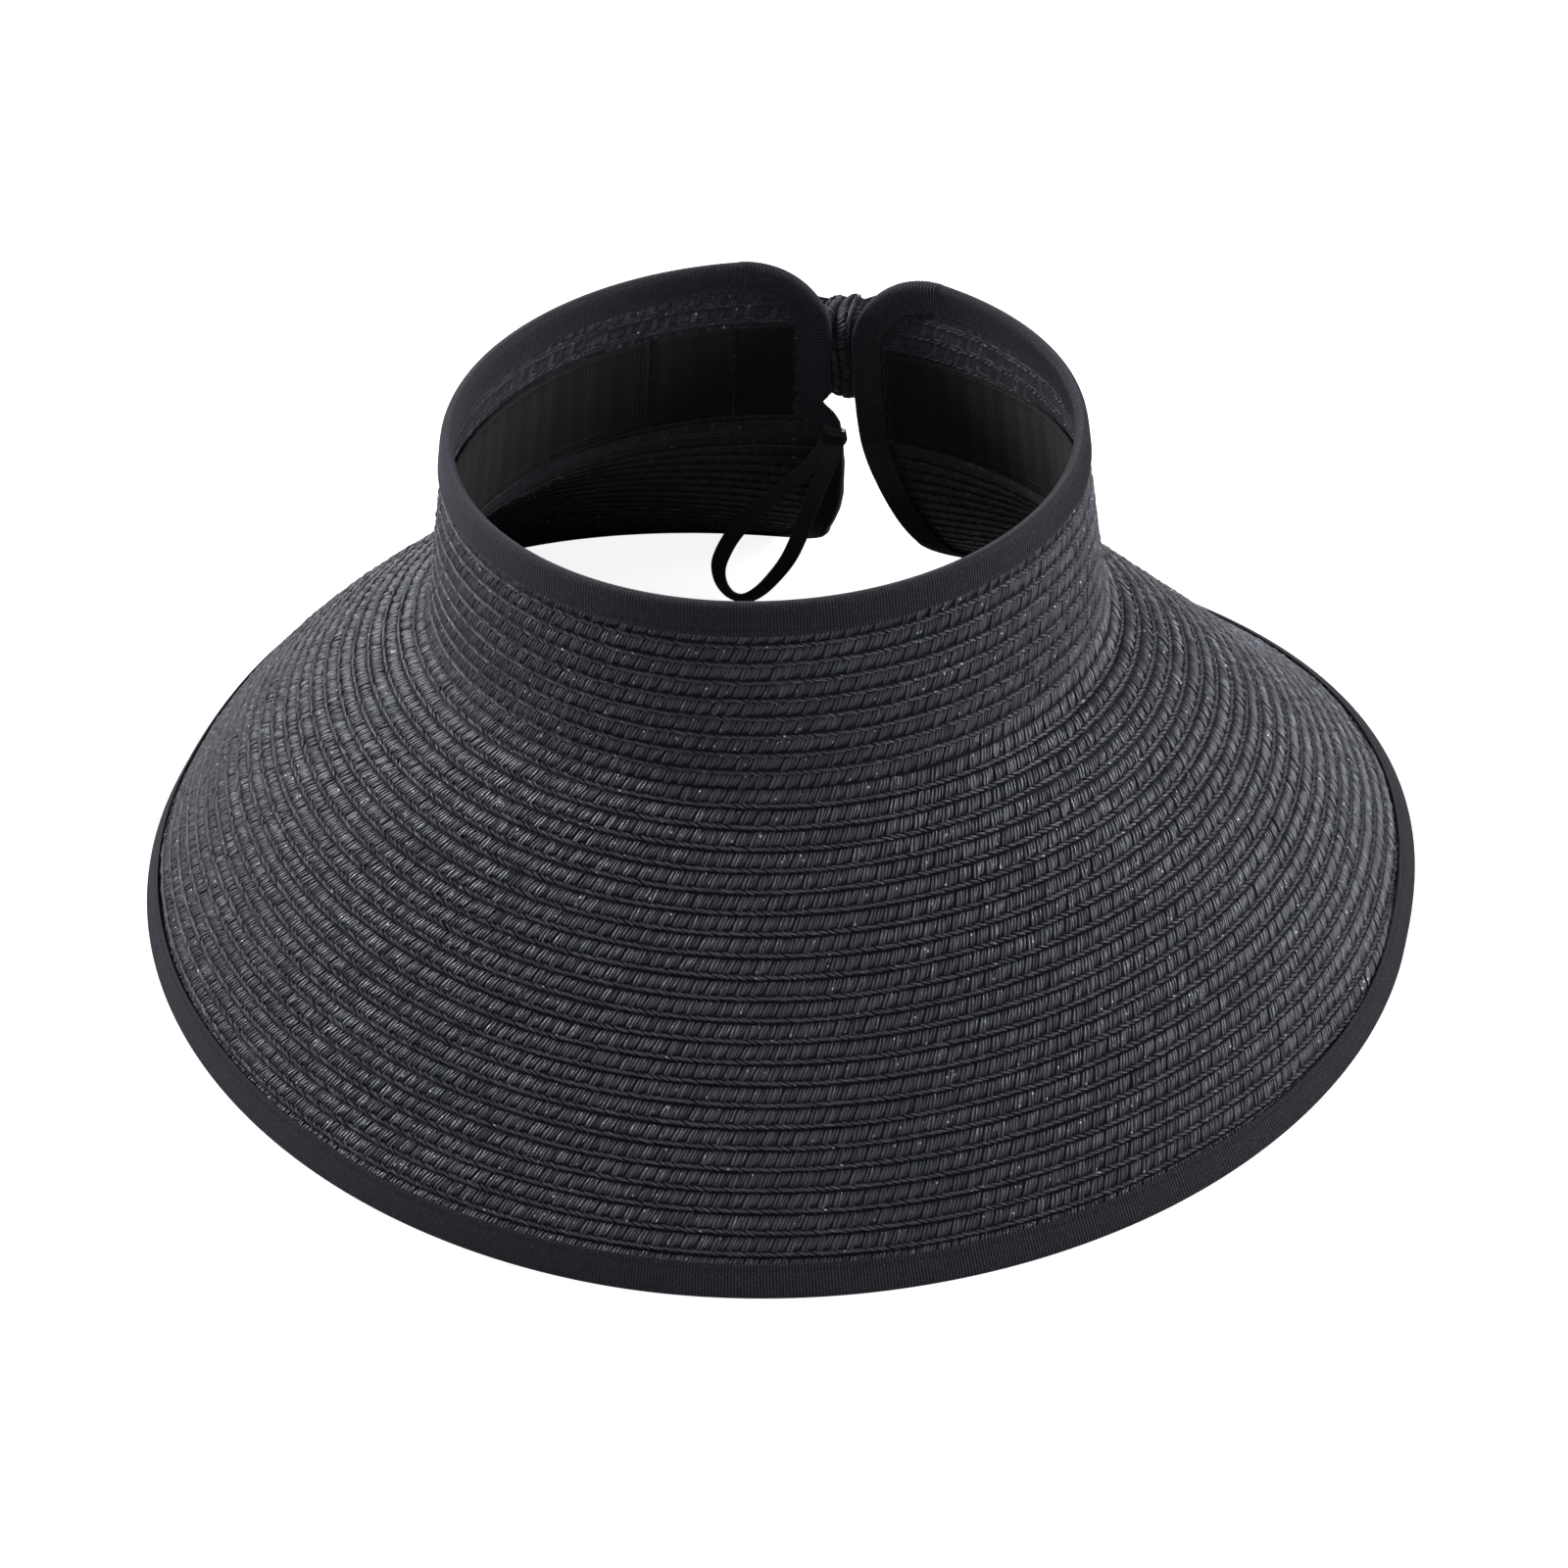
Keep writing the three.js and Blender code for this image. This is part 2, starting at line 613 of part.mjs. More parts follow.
function storageLoop() {
  const path = CORD_PATH.map(([x, z], i) => {
    const part = smoothstep(i / (CORD_PATH.length - 1), 0, 1);
    return vec(x, lerp(CORD_START_Y, CORD_END_Y, part), z);
  });
  const curve = new THREE.CatmullRomCurve3(path, false, 'centripetal');
  const sections = [];
  for (let i = 0; i <= CORD_STEPS; i++) {
    const centre = curve.getPointAt(i / CORD_STEPS);
    const along = curve.getTangentAt(i / CORD_STEPS);
    const wide = vec(-along.z, 0, along.x).normalize();
    const deep = along.clone().cross(wide).normalize();
    sections.push(Array.from({ length: CORD_SIDES }, (_, k) => {
      const angle = ((k + 0.5) / CORD_SIDES) * 2 * Math.PI;
      return centre.clone()
        .addScaledVector(wide, (CORD_WIDE / 2) * Math.cos(angle))
        .addScaledVector(deep, (CORD_THICK / 2) * Math.sin(angle));
    }));
  }
  return sweep('elastic_storage_loop', sections, COLORS.cord);
}

// ---- assembly ----
const group = new THREE.Group();
group.name = 'sun_visor';
for (let i = 0; i < CROWN_ROWS; i++) group.add(crownRow(i));
for (let i = 0; i < BRIM_ROWS; i++) group.add(brimRow(i));
group.add(
  crownTape(),
  brimTape(),
  sweatbandPanel('sweatband_main', -142.5, 171),
  sweatbandPanel('sweatband_smooth_panel', -158.6, -143),
  sweatbandPanel('sweatband_end_panel', -169.5, -159.1),
  closurePatch('closure_loop_patch', {
    farSide: 38, nearSide: 12.8, half: PATCH_HALF, lift: SURFACE_LIFT,
  }),
  closurePatch('closure_hook_patch', {
    farSide: 35, nearSide: 13.4, half: STRAP_HALF - HOOK_MARGIN, lift: HOOK_LIFT,
  }),
  closureStrap(),
  bowKnot(),
  sweep('bow_lobe_right', lobeSections(), COLORS.straw),
  sweep('bow_lobe_left', mirrorAll(lobeSections()), COLORS.straw),
  storageLoop(),
);

// the origin is under the middle of the bounding box
const box = new THREE.Box3().setFromObject(group);
const centre = box.getCenter(vec(0, 0, 0));
for (const mesh of group.children) mesh.geometry.translate(-centre.x, -centre.y, -box.min.z);

export default group;
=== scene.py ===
"""A plaited paper-straw sun visor with an open crown, its two ends joined at the back by a bow.

The shell is a C in plan. Its front faces -Y, the gap and the bow are at +Y, the right end is on
the +X side and the rim lies on z = 0. The brim rises from the rim to the fold and the crown
stands on the fold. Shapes are worked out in millimetres and scaled to metres as meshes are made.
"""
import bpy
import math
import numpy as np
from dataclasses import dataclass
from functools import partial
from mathutils import Matrix, Vector


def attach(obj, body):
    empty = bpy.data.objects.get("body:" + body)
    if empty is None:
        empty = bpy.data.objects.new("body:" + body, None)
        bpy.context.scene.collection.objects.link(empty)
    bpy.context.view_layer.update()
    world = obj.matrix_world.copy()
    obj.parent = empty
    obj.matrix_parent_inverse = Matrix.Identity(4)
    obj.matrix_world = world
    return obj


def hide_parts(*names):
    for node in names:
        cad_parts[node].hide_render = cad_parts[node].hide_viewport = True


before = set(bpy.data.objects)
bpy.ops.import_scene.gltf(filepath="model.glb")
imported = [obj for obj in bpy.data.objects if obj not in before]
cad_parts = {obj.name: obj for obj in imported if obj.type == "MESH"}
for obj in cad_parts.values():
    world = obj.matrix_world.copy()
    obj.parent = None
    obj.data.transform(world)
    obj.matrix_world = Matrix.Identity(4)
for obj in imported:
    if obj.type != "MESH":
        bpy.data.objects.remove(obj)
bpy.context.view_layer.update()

MM = 0.001
SHIFT = np.array([0.0, 16.502, 0.0])            # moves the shell so that its box is centred in y

# ------------------------------------------------------------------ driving sizes, mm and degrees
TOP_X, TOP_Y, TOP_DY, TOP_LEAN = 82.4, 86.5, 5.7, 6.3        # top edge: half axes, y offset, tilt
FOLD_X, FOLD_Y, FOLD_Z, FOLD_LEAN = 90.1, 89.6, 88.7, 7.6    # fold: half axes, height, tilt
RISE, BLEND = 56.0, 7.0                                      # crown height, reach of the fold's curve
RIM_X, RIM_FRONT_Y, RIM_BACK_Y, RIM_DY = 175.3, 161.6, 150.7, -9.7
RIM_FRONT_POWER, RIM_BACK_POWER = 1.96, 2.44                 # superellipse powers of the rim
BELLY_FRONT, BELLY_SIDE, BELLY_BACK = 0.3, 8.2, -9.0         # bulge of the brim halfway down

PITCH, PLAIT = 5.4, 1.9                         # row spacing, strand spacing along a row
CROWN_ROWS, BRIM_ROWS, LOBE_ROWS, KNOT_ROWS = 10, 23, 5, 3
CROWN_INSET = 1.2                               # top edge to the first crown row
TAPE_LEG, TAPE_THICK, TAPE_HALF = 9.0, 0.6, 1.8  # depth over the edge, cloth, half height
TAPE_RIB = 0.81

END_GAP, END_FLARE = 2.6, 0.13                  # end to centre plane, and its growth down the brim
TOP_RADIUS, RIM_RADIUS = 26.0, 40.0             # rounded corners of the two ends

CLOSE_L = -22.0                                 # the closure's place, measured from the fold
CLOSE_MM_PER_DEG = 1.56                         # distance round the shell at the closure
BAND_MM_PER_DEG = 1.52                          # and at the sweatband
STRAP_HALF, LOOP_HALF, PATCH_THICK = 8.4, 9.2, 0.52
STRAP_OUT, STRAP_IN = 4.2, 1.42                 # strap height over the right side and at the left
BOW_UP = 2.0
LOBE_OUT = 6.3                                  # base height of the bow lobes above the shell


def smoothstep(value):
    q = np.clip(value, 0, 1)
    return q * q * (3 - 2 * q)


def unit(vectors):
    return vectors / np.linalg.norm(vectors, axis=-1, keepdims=True)


def arc_length(points):
    return np.r_[0, np.cumsum(np.linalg.norm(np.diff(points, axis=0), axis=1))]


# ------------------------------------------------------------------ shell surface
def meridian(angle):
    """Points from top edge to rim at an angle from the front, and their arc length from the fold."""
    sin, cos = math.sin(angle), math.cos(angle)
    top_y = TOP_DY - TOP_Y * cos
    top_z = FOLD_Z + RISE - math.tan(math.radians(TOP_LEAN)) * top_y
    top = np.array([TOP_X * sin, top_y, top_z])
    fold_y = -FOLD_Y * cos
    fold = np.array([FOLD_X * sin, fold_y, FOLD_Z - math.tan(math.radians(FOLD_LEAN)) * fold_y])
    power = RIM_FRONT_POWER if cos > 0 else RIM_BACK_POWER
    rim_half_y = RIM_FRONT_Y if cos > 0 else RIM_BACK_Y
    reach = (abs(sin) ** power + abs(cos) ** power) ** (-1 / power)
    rim = np.array([RIM_X * reach * sin, RIM_DY - rim_half_y * reach * cos, 0.0])

    run = rim - fold
    flat = math.hypot(run[0], run[1])
    slope = np.linalg.norm(run)
    normal = np.array([run[0] / flat, run[1] / flat, 0]) * (-run[2] / slope)
    normal = normal + np.array([0, 0, flat / slope])
    belly = (BELLY_SIDE + (BELLY_FRONT - BELLY_BACK) / 2 * cos
             + ((BELLY_FRONT + BELLY_BACK) / 2 - BELLY_SIDE) * cos * cos)

    def brim(u):
        return fold + run * u + normal * (4 * belly * u * (1 - u))

    rise = top - fold
    crown_blend, brim_blend = BLEND / np.linalg.norm(rise), BLEND / slope
    points = [fold + rise * (1 + (crown_blend - 1) * (i / 24)) for i in range(24)]
    start, end = fold + rise * crown_blend, brim(brim_blend)
    for i in range(17):                          # the fold is a quadratic curve
        q = i / 16
        points.append(start * (1 - q) ** 2 + fold * (2 * q * (1 - q)) + end * q * q)
    points += [brim(brim_blend + (1 - brim_blend) * (i / 48)) for i in range(1, 49)]
    points = np.array(points)
    arc = arc_length(points)
    return points, arc - arc[24 + 8]             # zero at the middle of the fold


ANGLE_STEP, LENGTH_START, LENGTH_STEP = 0.5, -64.0, 1.0
ANGLES = np.arange(-190, 190 + ANGLE_STEP, ANGLE_STEP)
LENGTHS = np.arange(LENGTH_START, 138.0 + LENGTH_STEP, LENGTH_STEP)


def shell_grid():
    """The surface at every angle and length, run on straight past both edges, and its edge lengths."""
    grid = np.zeros((len(ANGLES), len(LENGTHS), 3))
    top, rim = np.zeros(len(ANGLES)), np.zeros(len(ANGLES))
    for i, angle in enumerate(ANGLES):
        p, arc = meridian(math.radians(angle))
        top[i], rim[i] = -arc[0], arc[-1]
        before, after = LENGTHS < arc[0], LENGTHS > arc[-1]
        first = (p[1] - p[0]) / (arc[1] - arc[0])
        last = (p[-1] - p[-2]) / (arc[-1] - arc[-2])
        for axis in range(3):
            line = np.interp(LENGTHS, arc, p[:, axis])
            line[before] = p[0, axis] + (LENGTHS[before] - arc[0]) * first[axis]
            line[after] = p[-1, axis] + (LENGTHS[after] - arc[-1]) * last[axis]
            grid[i, :, axis] = line
    return grid, top, rim


SHELL, TOP_LENGTHS, RIM_LENGTHS = shell_grid()
# outward on the crown, upward on the brim
NORMALS = unit(np.cross(np.gradient(SHELL, axis=1), np.gradient(SHELL, axis=0)))


def sample(grid, angle, length):
    """Bilinear reading of a grid of vectors."""
    x = np.clip((angle - ANGLES[0]) / ANGLE_STEP, 0, len(ANGLES) - 1.001)
    y = np.clip((length - LENGTH_START) / LENGTH_STEP, 0, len(LENGTHS) - 1.001)
    i, j = x.astype(int), y.astype(int)
    fx, fy = (x - i)[..., None], (y - j)[..., None]
    return (grid[i, j] * (1 - fx) * (1 - fy) + grid[i + 1, j] * fx * (1 - fy)
            + grid[i, j + 1] * (1 - fx) * fy + grid[i + 1, j + 1] * fx * fy)


def wrap(angle):
    return (np.asarray(angle, float) + 180) % 360 - 180


def on_shell(angle, length, height=0.0):
    """Points at an angle from the front, a length below the fold and a height off mid surface."""
    angle, length = np.broadcast_arrays(wrap(angle), np.asarray(length, float))
    height = np.broadcast_to(np.asarray(height, float), angle.shape)
    normal = unit(sample(NORMALS, angle, length))
    return sample(SHELL, angle, length) + normal * height[..., None] + SHIFT


def top_len(angle):
    return np.interp(wrap(angle), ANGLES, TOP_LENGTHS)


def rim_len(angle):
    return np.interp(wrap(angle), ANGLES, RIM_LENGTHS)


def gap_line(length):
    """Distance of the straight part of an end from the centre plane."""
    return END_GAP + END_FLARE * np.maximum(0, length)


# the rounded corners of the ends: u is the distance from the centre plane
TOP_END, RIM_END = float(top_len(176)), float(rim_len(164))
TOP_CORNER_U, TOP_CORNER_L = END_GAP + TOP_RADIUS, -TOP_END + TOP_RADIUS
RIM_CORNER_L = RIM_END - RIM_RADIUS
RIM_CORNER_U = float(gap_line(RIM_CORNER_L)) + RIM_RADIUS

# how much further each end stands from the centre plane: (length from the fold, extra distance)
TUCK = np.array([
    (-60, 0), (-40, 0.6), (-26, 2.2), (-9, 1.6), (-5, -0.3), (0, -0.9), (12, -2.0), (28, -1.9),
    (38, -0.9), (48, 0.9), (58, 2.8), (68, 4.4), (78, 4.8), (86, 3.8), (92, 1.8), (97.8, 0),
    (110, 0)]).T
SPLAY = np.array([
    (-60, 0), (-45, -0.5), (-34, -0.9), (-20, -0.8), (-9, 0.0), (0, 0.9), (10, 1.1), (20, 1.5),
    (33, 1.9), (50, 2.2), (60, 2.4), (72, 2.6), (84, 2.0), (92, 1.0), (97.8, 0), (110, 0)]).T
NOTCH_DEPTH, NOTCH_L, NOTCH_WIDTH = 2.6, -11.6, 2.4


def tuck(length):
    """Extra distance of the left end, with a small notch above the fold."""
    notch = NOTCH_DEPTH * np.exp(-((length - NOTCH_L) / NOTCH_WIDTH) ** 2)
    return np.interp(length, *TUCK) + notch


def splay(length):
    """Extra distance of the right end."""
    return np.interp(length, *SPLAY)


def gap_at(length, clear):
    """Distance from the centre plane to a line kept clear of the end and its rounded corners."""
    out = gap_line(length) + clear
    radius = TOP_RADIUS - clear
    corner = np.sqrt(np.maximum(0, radius * radius - (length - TOP_CORNER_L) ** 2))
    out = np.where(length < TOP_CORNER_L, TOP_CORNER_U - corner, out)
    radius = RIM_RADIUS - clear
    corner = np.sqrt(np.maximum(0, radius * radius - (length - RIM_CORNER_L) ** 2))
    return np.where(length > RIM_CORNER_L, RIM_CORNER_U - corner, out)


def angle_for(u, length):
    """Angle on the +X side of the back where the surface is u mm from the centre plane."""
    u, length = np.broadcast_arrays(np.asarray(u, float), np.asarray(length, float))
    low, high = np.full(u.shape, 120.0), np.full(u.shape, 185.0)
    for _ in range(26):
        middle = (low + high) / 2
        beyond = sample(SHELL, middle, length)[..., 0] > u
        low, high = np.where(beyond, middle, low), np.where(beyond, high, middle)
    return (low + high) / 2


# ------------------------------------------------------------------ mesh builder
class Build:
    """Collects grids of quads, in mm, into one mesh."""

    def __init__(self):
        self.verts, self.faces, self.count = [], [], 0
        self.attrs = {}

    def grid(self, points, wrap_u=False, wrap_v=False, flip=False, **attrs):
        """points (..., nu, nv, 3): any leading axes are separate grids."""
        nu, nv = points.shape[-3], points.shape[-2]
        many = int(np.prod(points.shape[:-3])) if points.ndim > 3 else 1
        u = np.arange(nu if wrap_u else nu - 1)[:, None]
        v = np.arange(nv if wrap_v else nv - 1)[None, :]
        next_u, next_v = (u + 1) % nu, (v + 1) % nv
        corners = (u * nv + v, next_u * nv + v, next_u * nv + next_v, u * nv + next_v)
        quads = np.stack([c.ravel() for c in corners], 1)
        if flip:
            quads = quads[:, ::-1]
        base = self.count + (np.arange(many) * nu * nv)[:, None, None]
        self.faces.append((quads[None] + base).reshape(-1, 4))
        self.verts.append(points.reshape(-1, 3))
        for key, value in attrs.items():
            value = np.broadcast_to(np.asarray(value, float), points.shape[:-1]).reshape(-1)
            self.attrs.setdefault(key, []).append((self.count, value))
        self.count += many * nu * nv

    def slab(self, top, bottom, flip=False, cap=None, **attrs):
        """A closed sheet between two grids; cap holds the attributes of its two end faces."""
        cap = cap or {}
        ring = np.concatenate([top, bottom[:, ::-1]], axis=1)
        self.grid(ring, wrap_v=True, flip=flip, **attrs)
        self.grid(np.stack([top[0], bottom[0]]), flip=not flip, **cap)
        self.grid(np.stack([top[-1], bottom[-1]]), flip=flip, **cap)

    def object(self, name, body, slot, material, replaces=None):
        verts = np.ascontiguousarray(np.concatenate(self.verts) * MM, dtype=np.float32)
        faces = np.ascontiguousarray(np.concatenate(self.faces), dtype=np.int32)
        mesh = bpy.data.meshes.new(name)
        mesh.vertices.add(len(verts))
        mesh.vertices.foreach_set("co", verts.ravel())
        mesh.loops.add(faces.size)
        mesh.loops.foreach_set("vertex_index", faces.ravel())
        mesh.polygons.add(len(faces))
        mesh.polygons.foreach_set("loop_start", np.arange(0, faces.size, 4, dtype=np.int32))
        mesh.update(calc_edges=True)
        mesh.shade_smooth()
        for key, parts in self.attrs.items():
            values = np.zeros(self.count, dtype=np.float32)
            for start, part in parts:
                values[start:start + len(part)] = part
            mesh.attributes.new(key, "FLOAT", "POINT").data.foreach_set("value", values)
        mesh.validate()
        obj = bpy.data.objects.new(name, mesh)
        bpy.context.scene.collection.objects.link(obj)
        mesh.materials.append(material)
        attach(obj, body)
        if replaces:
            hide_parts(replaces)


# ------------------------------------------------------------------ materials
def srgb(*color):
    """Linear values of an sRGB colour."""
    return tuple(c / 12.92 if c <= 0.04045 else ((c + 0.055) / 1.055) ** 2.4 for c in color)


class Nodes:
    """A material with a Principled shader, and short ways to add nodes to it."""

    def __init__(self, name):
        self.material = bpy.data.materials.new(name)
        self.material.use_nodes = True
        self.tree = self.material.node_tree
        self.tree.nodes.clear()
        output = self.node("ShaderNodeOutputMaterial")
        self.shader = self.node("ShaderNodeBsdfPrincipled")
        self.link(self.shader.outputs[0], output.inputs[0])

    def link(self, source, target):
        self.tree.links.new(source, target)

    def node(self, kind, **props):
        node = self.tree.nodes.new(kind)
        for key, value in props.items():
            setattr(node, key, value)
        return node

    def put(self, socket, value):
        """Links a socket, or sets a plain value."""
        if hasattr(value, "is_output"):
            self.link(value, socket)
        else:
            socket.default_value = value

    def set(self, **inputs):
        for key, value in inputs.items():
            self.put(self.shader.inputs[key.replace("_", " ")], value)

    def attr(self, name):
        return self.node("ShaderNodeAttribute", attribute_name=name).outputs["Fac"]

    def coords(self):
        source = self.node("ShaderNodeTexCoord")
        mapping = self.node("ShaderNodeMapping")
        self.link(source.outputs["Object"], mapping.inputs["Vector"])
        return mapping.outputs[0]

    def noise(self, vector, scale, detail=3, rough=0.6):
        node = self.node("ShaderNodeTexNoise")
        self.link(vector, node.inputs["Vector"])
        node.inputs["Scale"].default_value = scale
        node.inputs["Detail"].default_value = detail
        node.inputs["Roughness"].default_value = rough
        return node.outputs["Fac"]

    def math(self, operation, *values, clamp=False):
        node = self.node("ShaderNodeMath", operation=operation, use_clamp=clamp)
        for socket, value in zip(node.inputs, values):
            self.put(socket, value)
        return node.outputs[0]

    def linear(self, value, gain, offset, clamp=False):
        return self.math("MULTIPLY_ADD", value, gain, offset, clamp=clamp)

    def vector_math(self, operation, *values):
        node = self.node("ShaderNodeVectorMath", operation=operation)
        for socket, value in zip(node.inputs, values):
            self.put(socket, value)
        return node.outputs[0]

    def grey(self, value):
        node = self.node("ShaderNodeCombineColor")
        for i in range(3):
            self.link(value, node.inputs[i])
        return node.outputs[0]

    def mix(self, factor, a, b, blend="MIX"):
        node = self.node("ShaderNodeMix", data_type="RGBA", blend_type=blend)
        self.put(node.inputs[0], factor)
        for socket, value in ((node.inputs[6], a), (node.inputs[7], b)):
            self.put(socket, (*value, 1) if isinstance(value, tuple) else value)
        return node.outputs[2]

    def bump(self, height, strength, distance):
        node = self.node("ShaderNodeBump")
        node.inputs["Strength"].default_value = strength
        node.inputs["Distance"].default_value = distance
        self.link(height, node.inputs["Height"])
        return node.outputs[0]


STRAND_TURN = 0.26       # spread of the strands' own small angles
PAINTED_GLINT_LIMIT = 1.032      # higher means fewer painted glints
SLATE, PLUM, GREEN_GREY = (0.176, 0.187, 0.212), (0.196, 0.182, 0.215), (0.175, 0.208, 0.220)


def straw_material():
    n = Nodes("paper_straw")
    coords = n.coords()
    leaf = n.attr("leaf")        # one random number for each plaited strand, raised on flattened inner faces as painted light
    fibre = n.attr("fibre")      # runs across the strand, for its fine creases
    high = n.attr("high")        # 0 in the valleys of the plait, 1 on top of a strand; it also sets the painted shade in the valleys

    # dyed paper: tints in patches a few strands long
    drift = n.linear(n.noise(coords, scale=26), gain=1.6, offset=-0.7)
    blend = n.linear(leaf, gain=0.75, offset=drift, clamp=True)
    tint = n.mix(blend, srgb(*SLATE), srgb(*PLUM))
    spot = n.noise(n.coords(), scale=210, detail=2, rough=0.5)
    tint = n.mix(n.linear(spot, gain=3.2, offset=-1.55, clamp=True), tint, srgb(*GREEN_GREY))
    tint = n.mix(1.0, tint, n.grey(n.linear(leaf, gain=0.46, offset=0.48)), "MULTIPLY")
    # painted shade: the colour is darkened in the valleys between the strands
    valley_shade = n.linear(high, gain=1.1, offset=0.37, clamp=True)
    tint = n.mix(1.0, tint, n.grey(valley_shade), "MULTIPLY")

    # creases along each cord, and fine paper fibre
    crease_frequency, crease_share, fibre_share = 26.0, 0.35, 1.1
    wave = n.math("SINE", n.math("MULTIPLY", fibre, crease_frequency))
    fine = n.noise(n.coords(), scale=2600, detail=3, rough=0.75)
    relief = n.math("ADD", n.math("MULTIPLY", wave, crease_share),
                    n.math("MULTIPLY", fine, fibre_share))
    crease = n.bump(relief, strength=0.7, distance=0.00022)

    # each strand lies at its own small angle, so some catch the light and some don't
    strands = 397.3
    cell = n.node("ShaderNodeTexWhiteNoise", noise_dimensions="1D")
    n.link(n.math("FLOOR", n.math("MULTIPLY", leaf, strands)), cell.inputs["W"])
    turn = n.vector_math("MULTIPLY_ADD", cell.outputs["Color"],
                         (STRAND_TURN,) * 3, (-STRAND_TURN / 2,) * 3)
    normal = n.vector_math("NORMALIZE", n.vector_math("ADD", crease, turn))

    # painted highlights: tiny bright dots in the base colour stand in for glints of light on the
    # coated paper's creases
    dot_radius, ridge_level = 0.37, 0.45
    cells = n.node("ShaderNodeTexVoronoi", feature="F1")
    n.link(coords, cells.inputs["Vector"])
    cells.inputs["Scale"].default_value = 1150
    parts = n.node("ShaderNodeSeparateColor")
    n.link(cells.outputs["Color"], parts.inputs[0])
    clump = n.noise(n.coords(), scale=75, detail=2, rough=0.6)
    chance = n.linear(clump, gain=0.12, offset=parts.outputs[0])
    pick = n.math("GREATER_THAN", chance, PAINTED_GLINT_LIMIT)
    dot = n.math("LESS_THAN", cells.outputs["Distance"], dot_radius)
    ridge = n.math("GREATER_THAN", high, ridge_level)
    painted_glint = n.math("MULTIPLY", n.math("MULTIPLY", pick, dot), ridge)
    painted_glint = n.math("MULTIPLY", painted_glint, n.linear(parts.outputs[1], gain=0.75, offset=0.25))
    color = n.mix(painted_glint, tint, (0.80, 0.82, 0.86))

    ridge_sharpness = 1.5
    n.set(
        Base_Color=color,
        Normal=normal,
        Roughness=n.linear(cell.outputs["Value"], gain=-0.12, offset=0.39),
        IOR=1.77,
        Specular_IOR_Level=n.linear(n.math("POWER", high, ridge_sharpness),
                                    gain=0.97, offset=0.03, clamp=True),
        Specular_Tint=(0.86, 0.89, 1.0, 1),
        Sheen_Weight=0.06,
        Sheen_Roughness=0.4,
        Sheen_Tint=(0.85, 0.88, 1.0, 1))
    return n.material


def tape_material():
    n = Nodes("ribbed_tape")
    rib = n.attr("rib")          # runs along the tape, one unit a rib
    coords = n.coords()
    wave = n.math("SINE", n.math("MULTIPLY", rib, 2 * math.pi))
    # painted light and shade: the colour is lighter on each rib's crest and darker in its trough, in
    # step with the rib bump
    painted_rib_shade = n.linear(wave, gain=0.5, offset=0.5)
    base = n.mix(painted_rib_shade, srgb(0.034, 0.037, 0.048), srgb(0.162, 0.170, 0.200))
    cloud_share, wave_share = 0.5, 0.9
    cloud = n.noise(coords, scale=90)
    base = n.mix(n.math("MULTIPLY", cloud, cloud_share), base, srgb(0.105, 0.112, 0.145))
    lint = n.noise(n.coords(), scale=1900, detail=2, rough=0.6)
    lint = n.linear(lint, gain=5.0, offset=-2.75, clamp=True)
    base = n.mix(lint, base, srgb(0.25, 0.255, 0.28))
    thread = n.noise(coords, scale=3800, detail=2, rough=0.7)
    relief = n.math("ADD", n.math("MULTIPLY", wave, wave_share), thread)
    n.set(
        Base_Color=base,
        Normal=n.bump(relief, strength=0.6, distance=0.00012),
        Roughness=0.8,
        Specular_IOR_Level=0.28,
        Sheen_Weight=0.16,
        Sheen_Roughness=0.35,
        Sheen_Tint=(0.8, 0.86, 1.0, 1))
    return n.material


def knit_material(name, dark, light, scale):
    """Matt cloth or thread between two sRGB colours; scale sets how fine its fibres are."""
    n = Nodes(name)
    cloud = n.noise(n.coords(), scale=60)
    base = n.mix(cloud, srgb(*dark), srgb(*light))
    fibres = n.noise(n.coords(), scale=scale, detail=3, rough=0.7)
    lit = n.linear(fibres, gain=1.4, offset=-0.35, clamp=True)
    base = n.mix(lit, n.mix(1.0, base, (0.55, 0.55, 0.55), "MULTIPLY"), base)
    n.set(
        Base_Color=base,
        Normal=n.bump(fibres, strength=0.6, distance=0.0002),
        Roughness=0.93,
        Specular_IOR_Level=0.16,
        Sheen_Weight=0.1,
        Sheen_Roughness=0.5)
    return n.material


def floor_material():
    """White paper that glows to the camera only, so that it stays pale in the object's shadow."""
    n = Nodes("paper_floor")
    camera_ray = n.node("ShaderNodeLightPath").outputs["Is Camera Ray"]
    glow = 0.90
    n.set(
        Base_Color=n.mix(camera_ray, (0.42, 0.42, 0.42), (0.55, 0.55, 0.55)),
        Roughness=0.95,
        Specular_IOR_Level=0.0,
        Emission_Color=(1, 1, 1, 1),
        Emission_Strength=n.math("MULTIPLY", camera_ray, glow))
    return n.material


STRAW = straw_material()
TAPE = tape_material()
# (name, dark sRGB, light sRGB, fibre scale)
RIB, PLAIN, THREAD, ELASTIC, WEB, HOOK, LOOP = [knit_material(*row) for row in (
    ("rib_knit", (0.080, 0.077, 0.086), (0.100, 0.095, 0.105), 2600),
    ("plain_knit", (0.086, 0.083, 0.091), (0.110, 0.105, 0.114), 3600),
    ("sewing_thread", (0.11, 0.11, 0.125), (0.15, 0.15, 0.17), 5200),
    ("elastic_braid", (0.225, 0.230, 0.250), (0.290, 0.295, 0.320), 3000),
    ("woven_strap", (0.09, 0.09, 0.10), (0.13, 0.13, 0.145), 2400),
    ("hook_nylon", (0.045, 0.045, 0.05), (0.08, 0.08, 0.09), 4200),
    ("loop_nylon", (0.05, 0.05, 0.057), (0.085, 0.085, 0.095), 1700))]

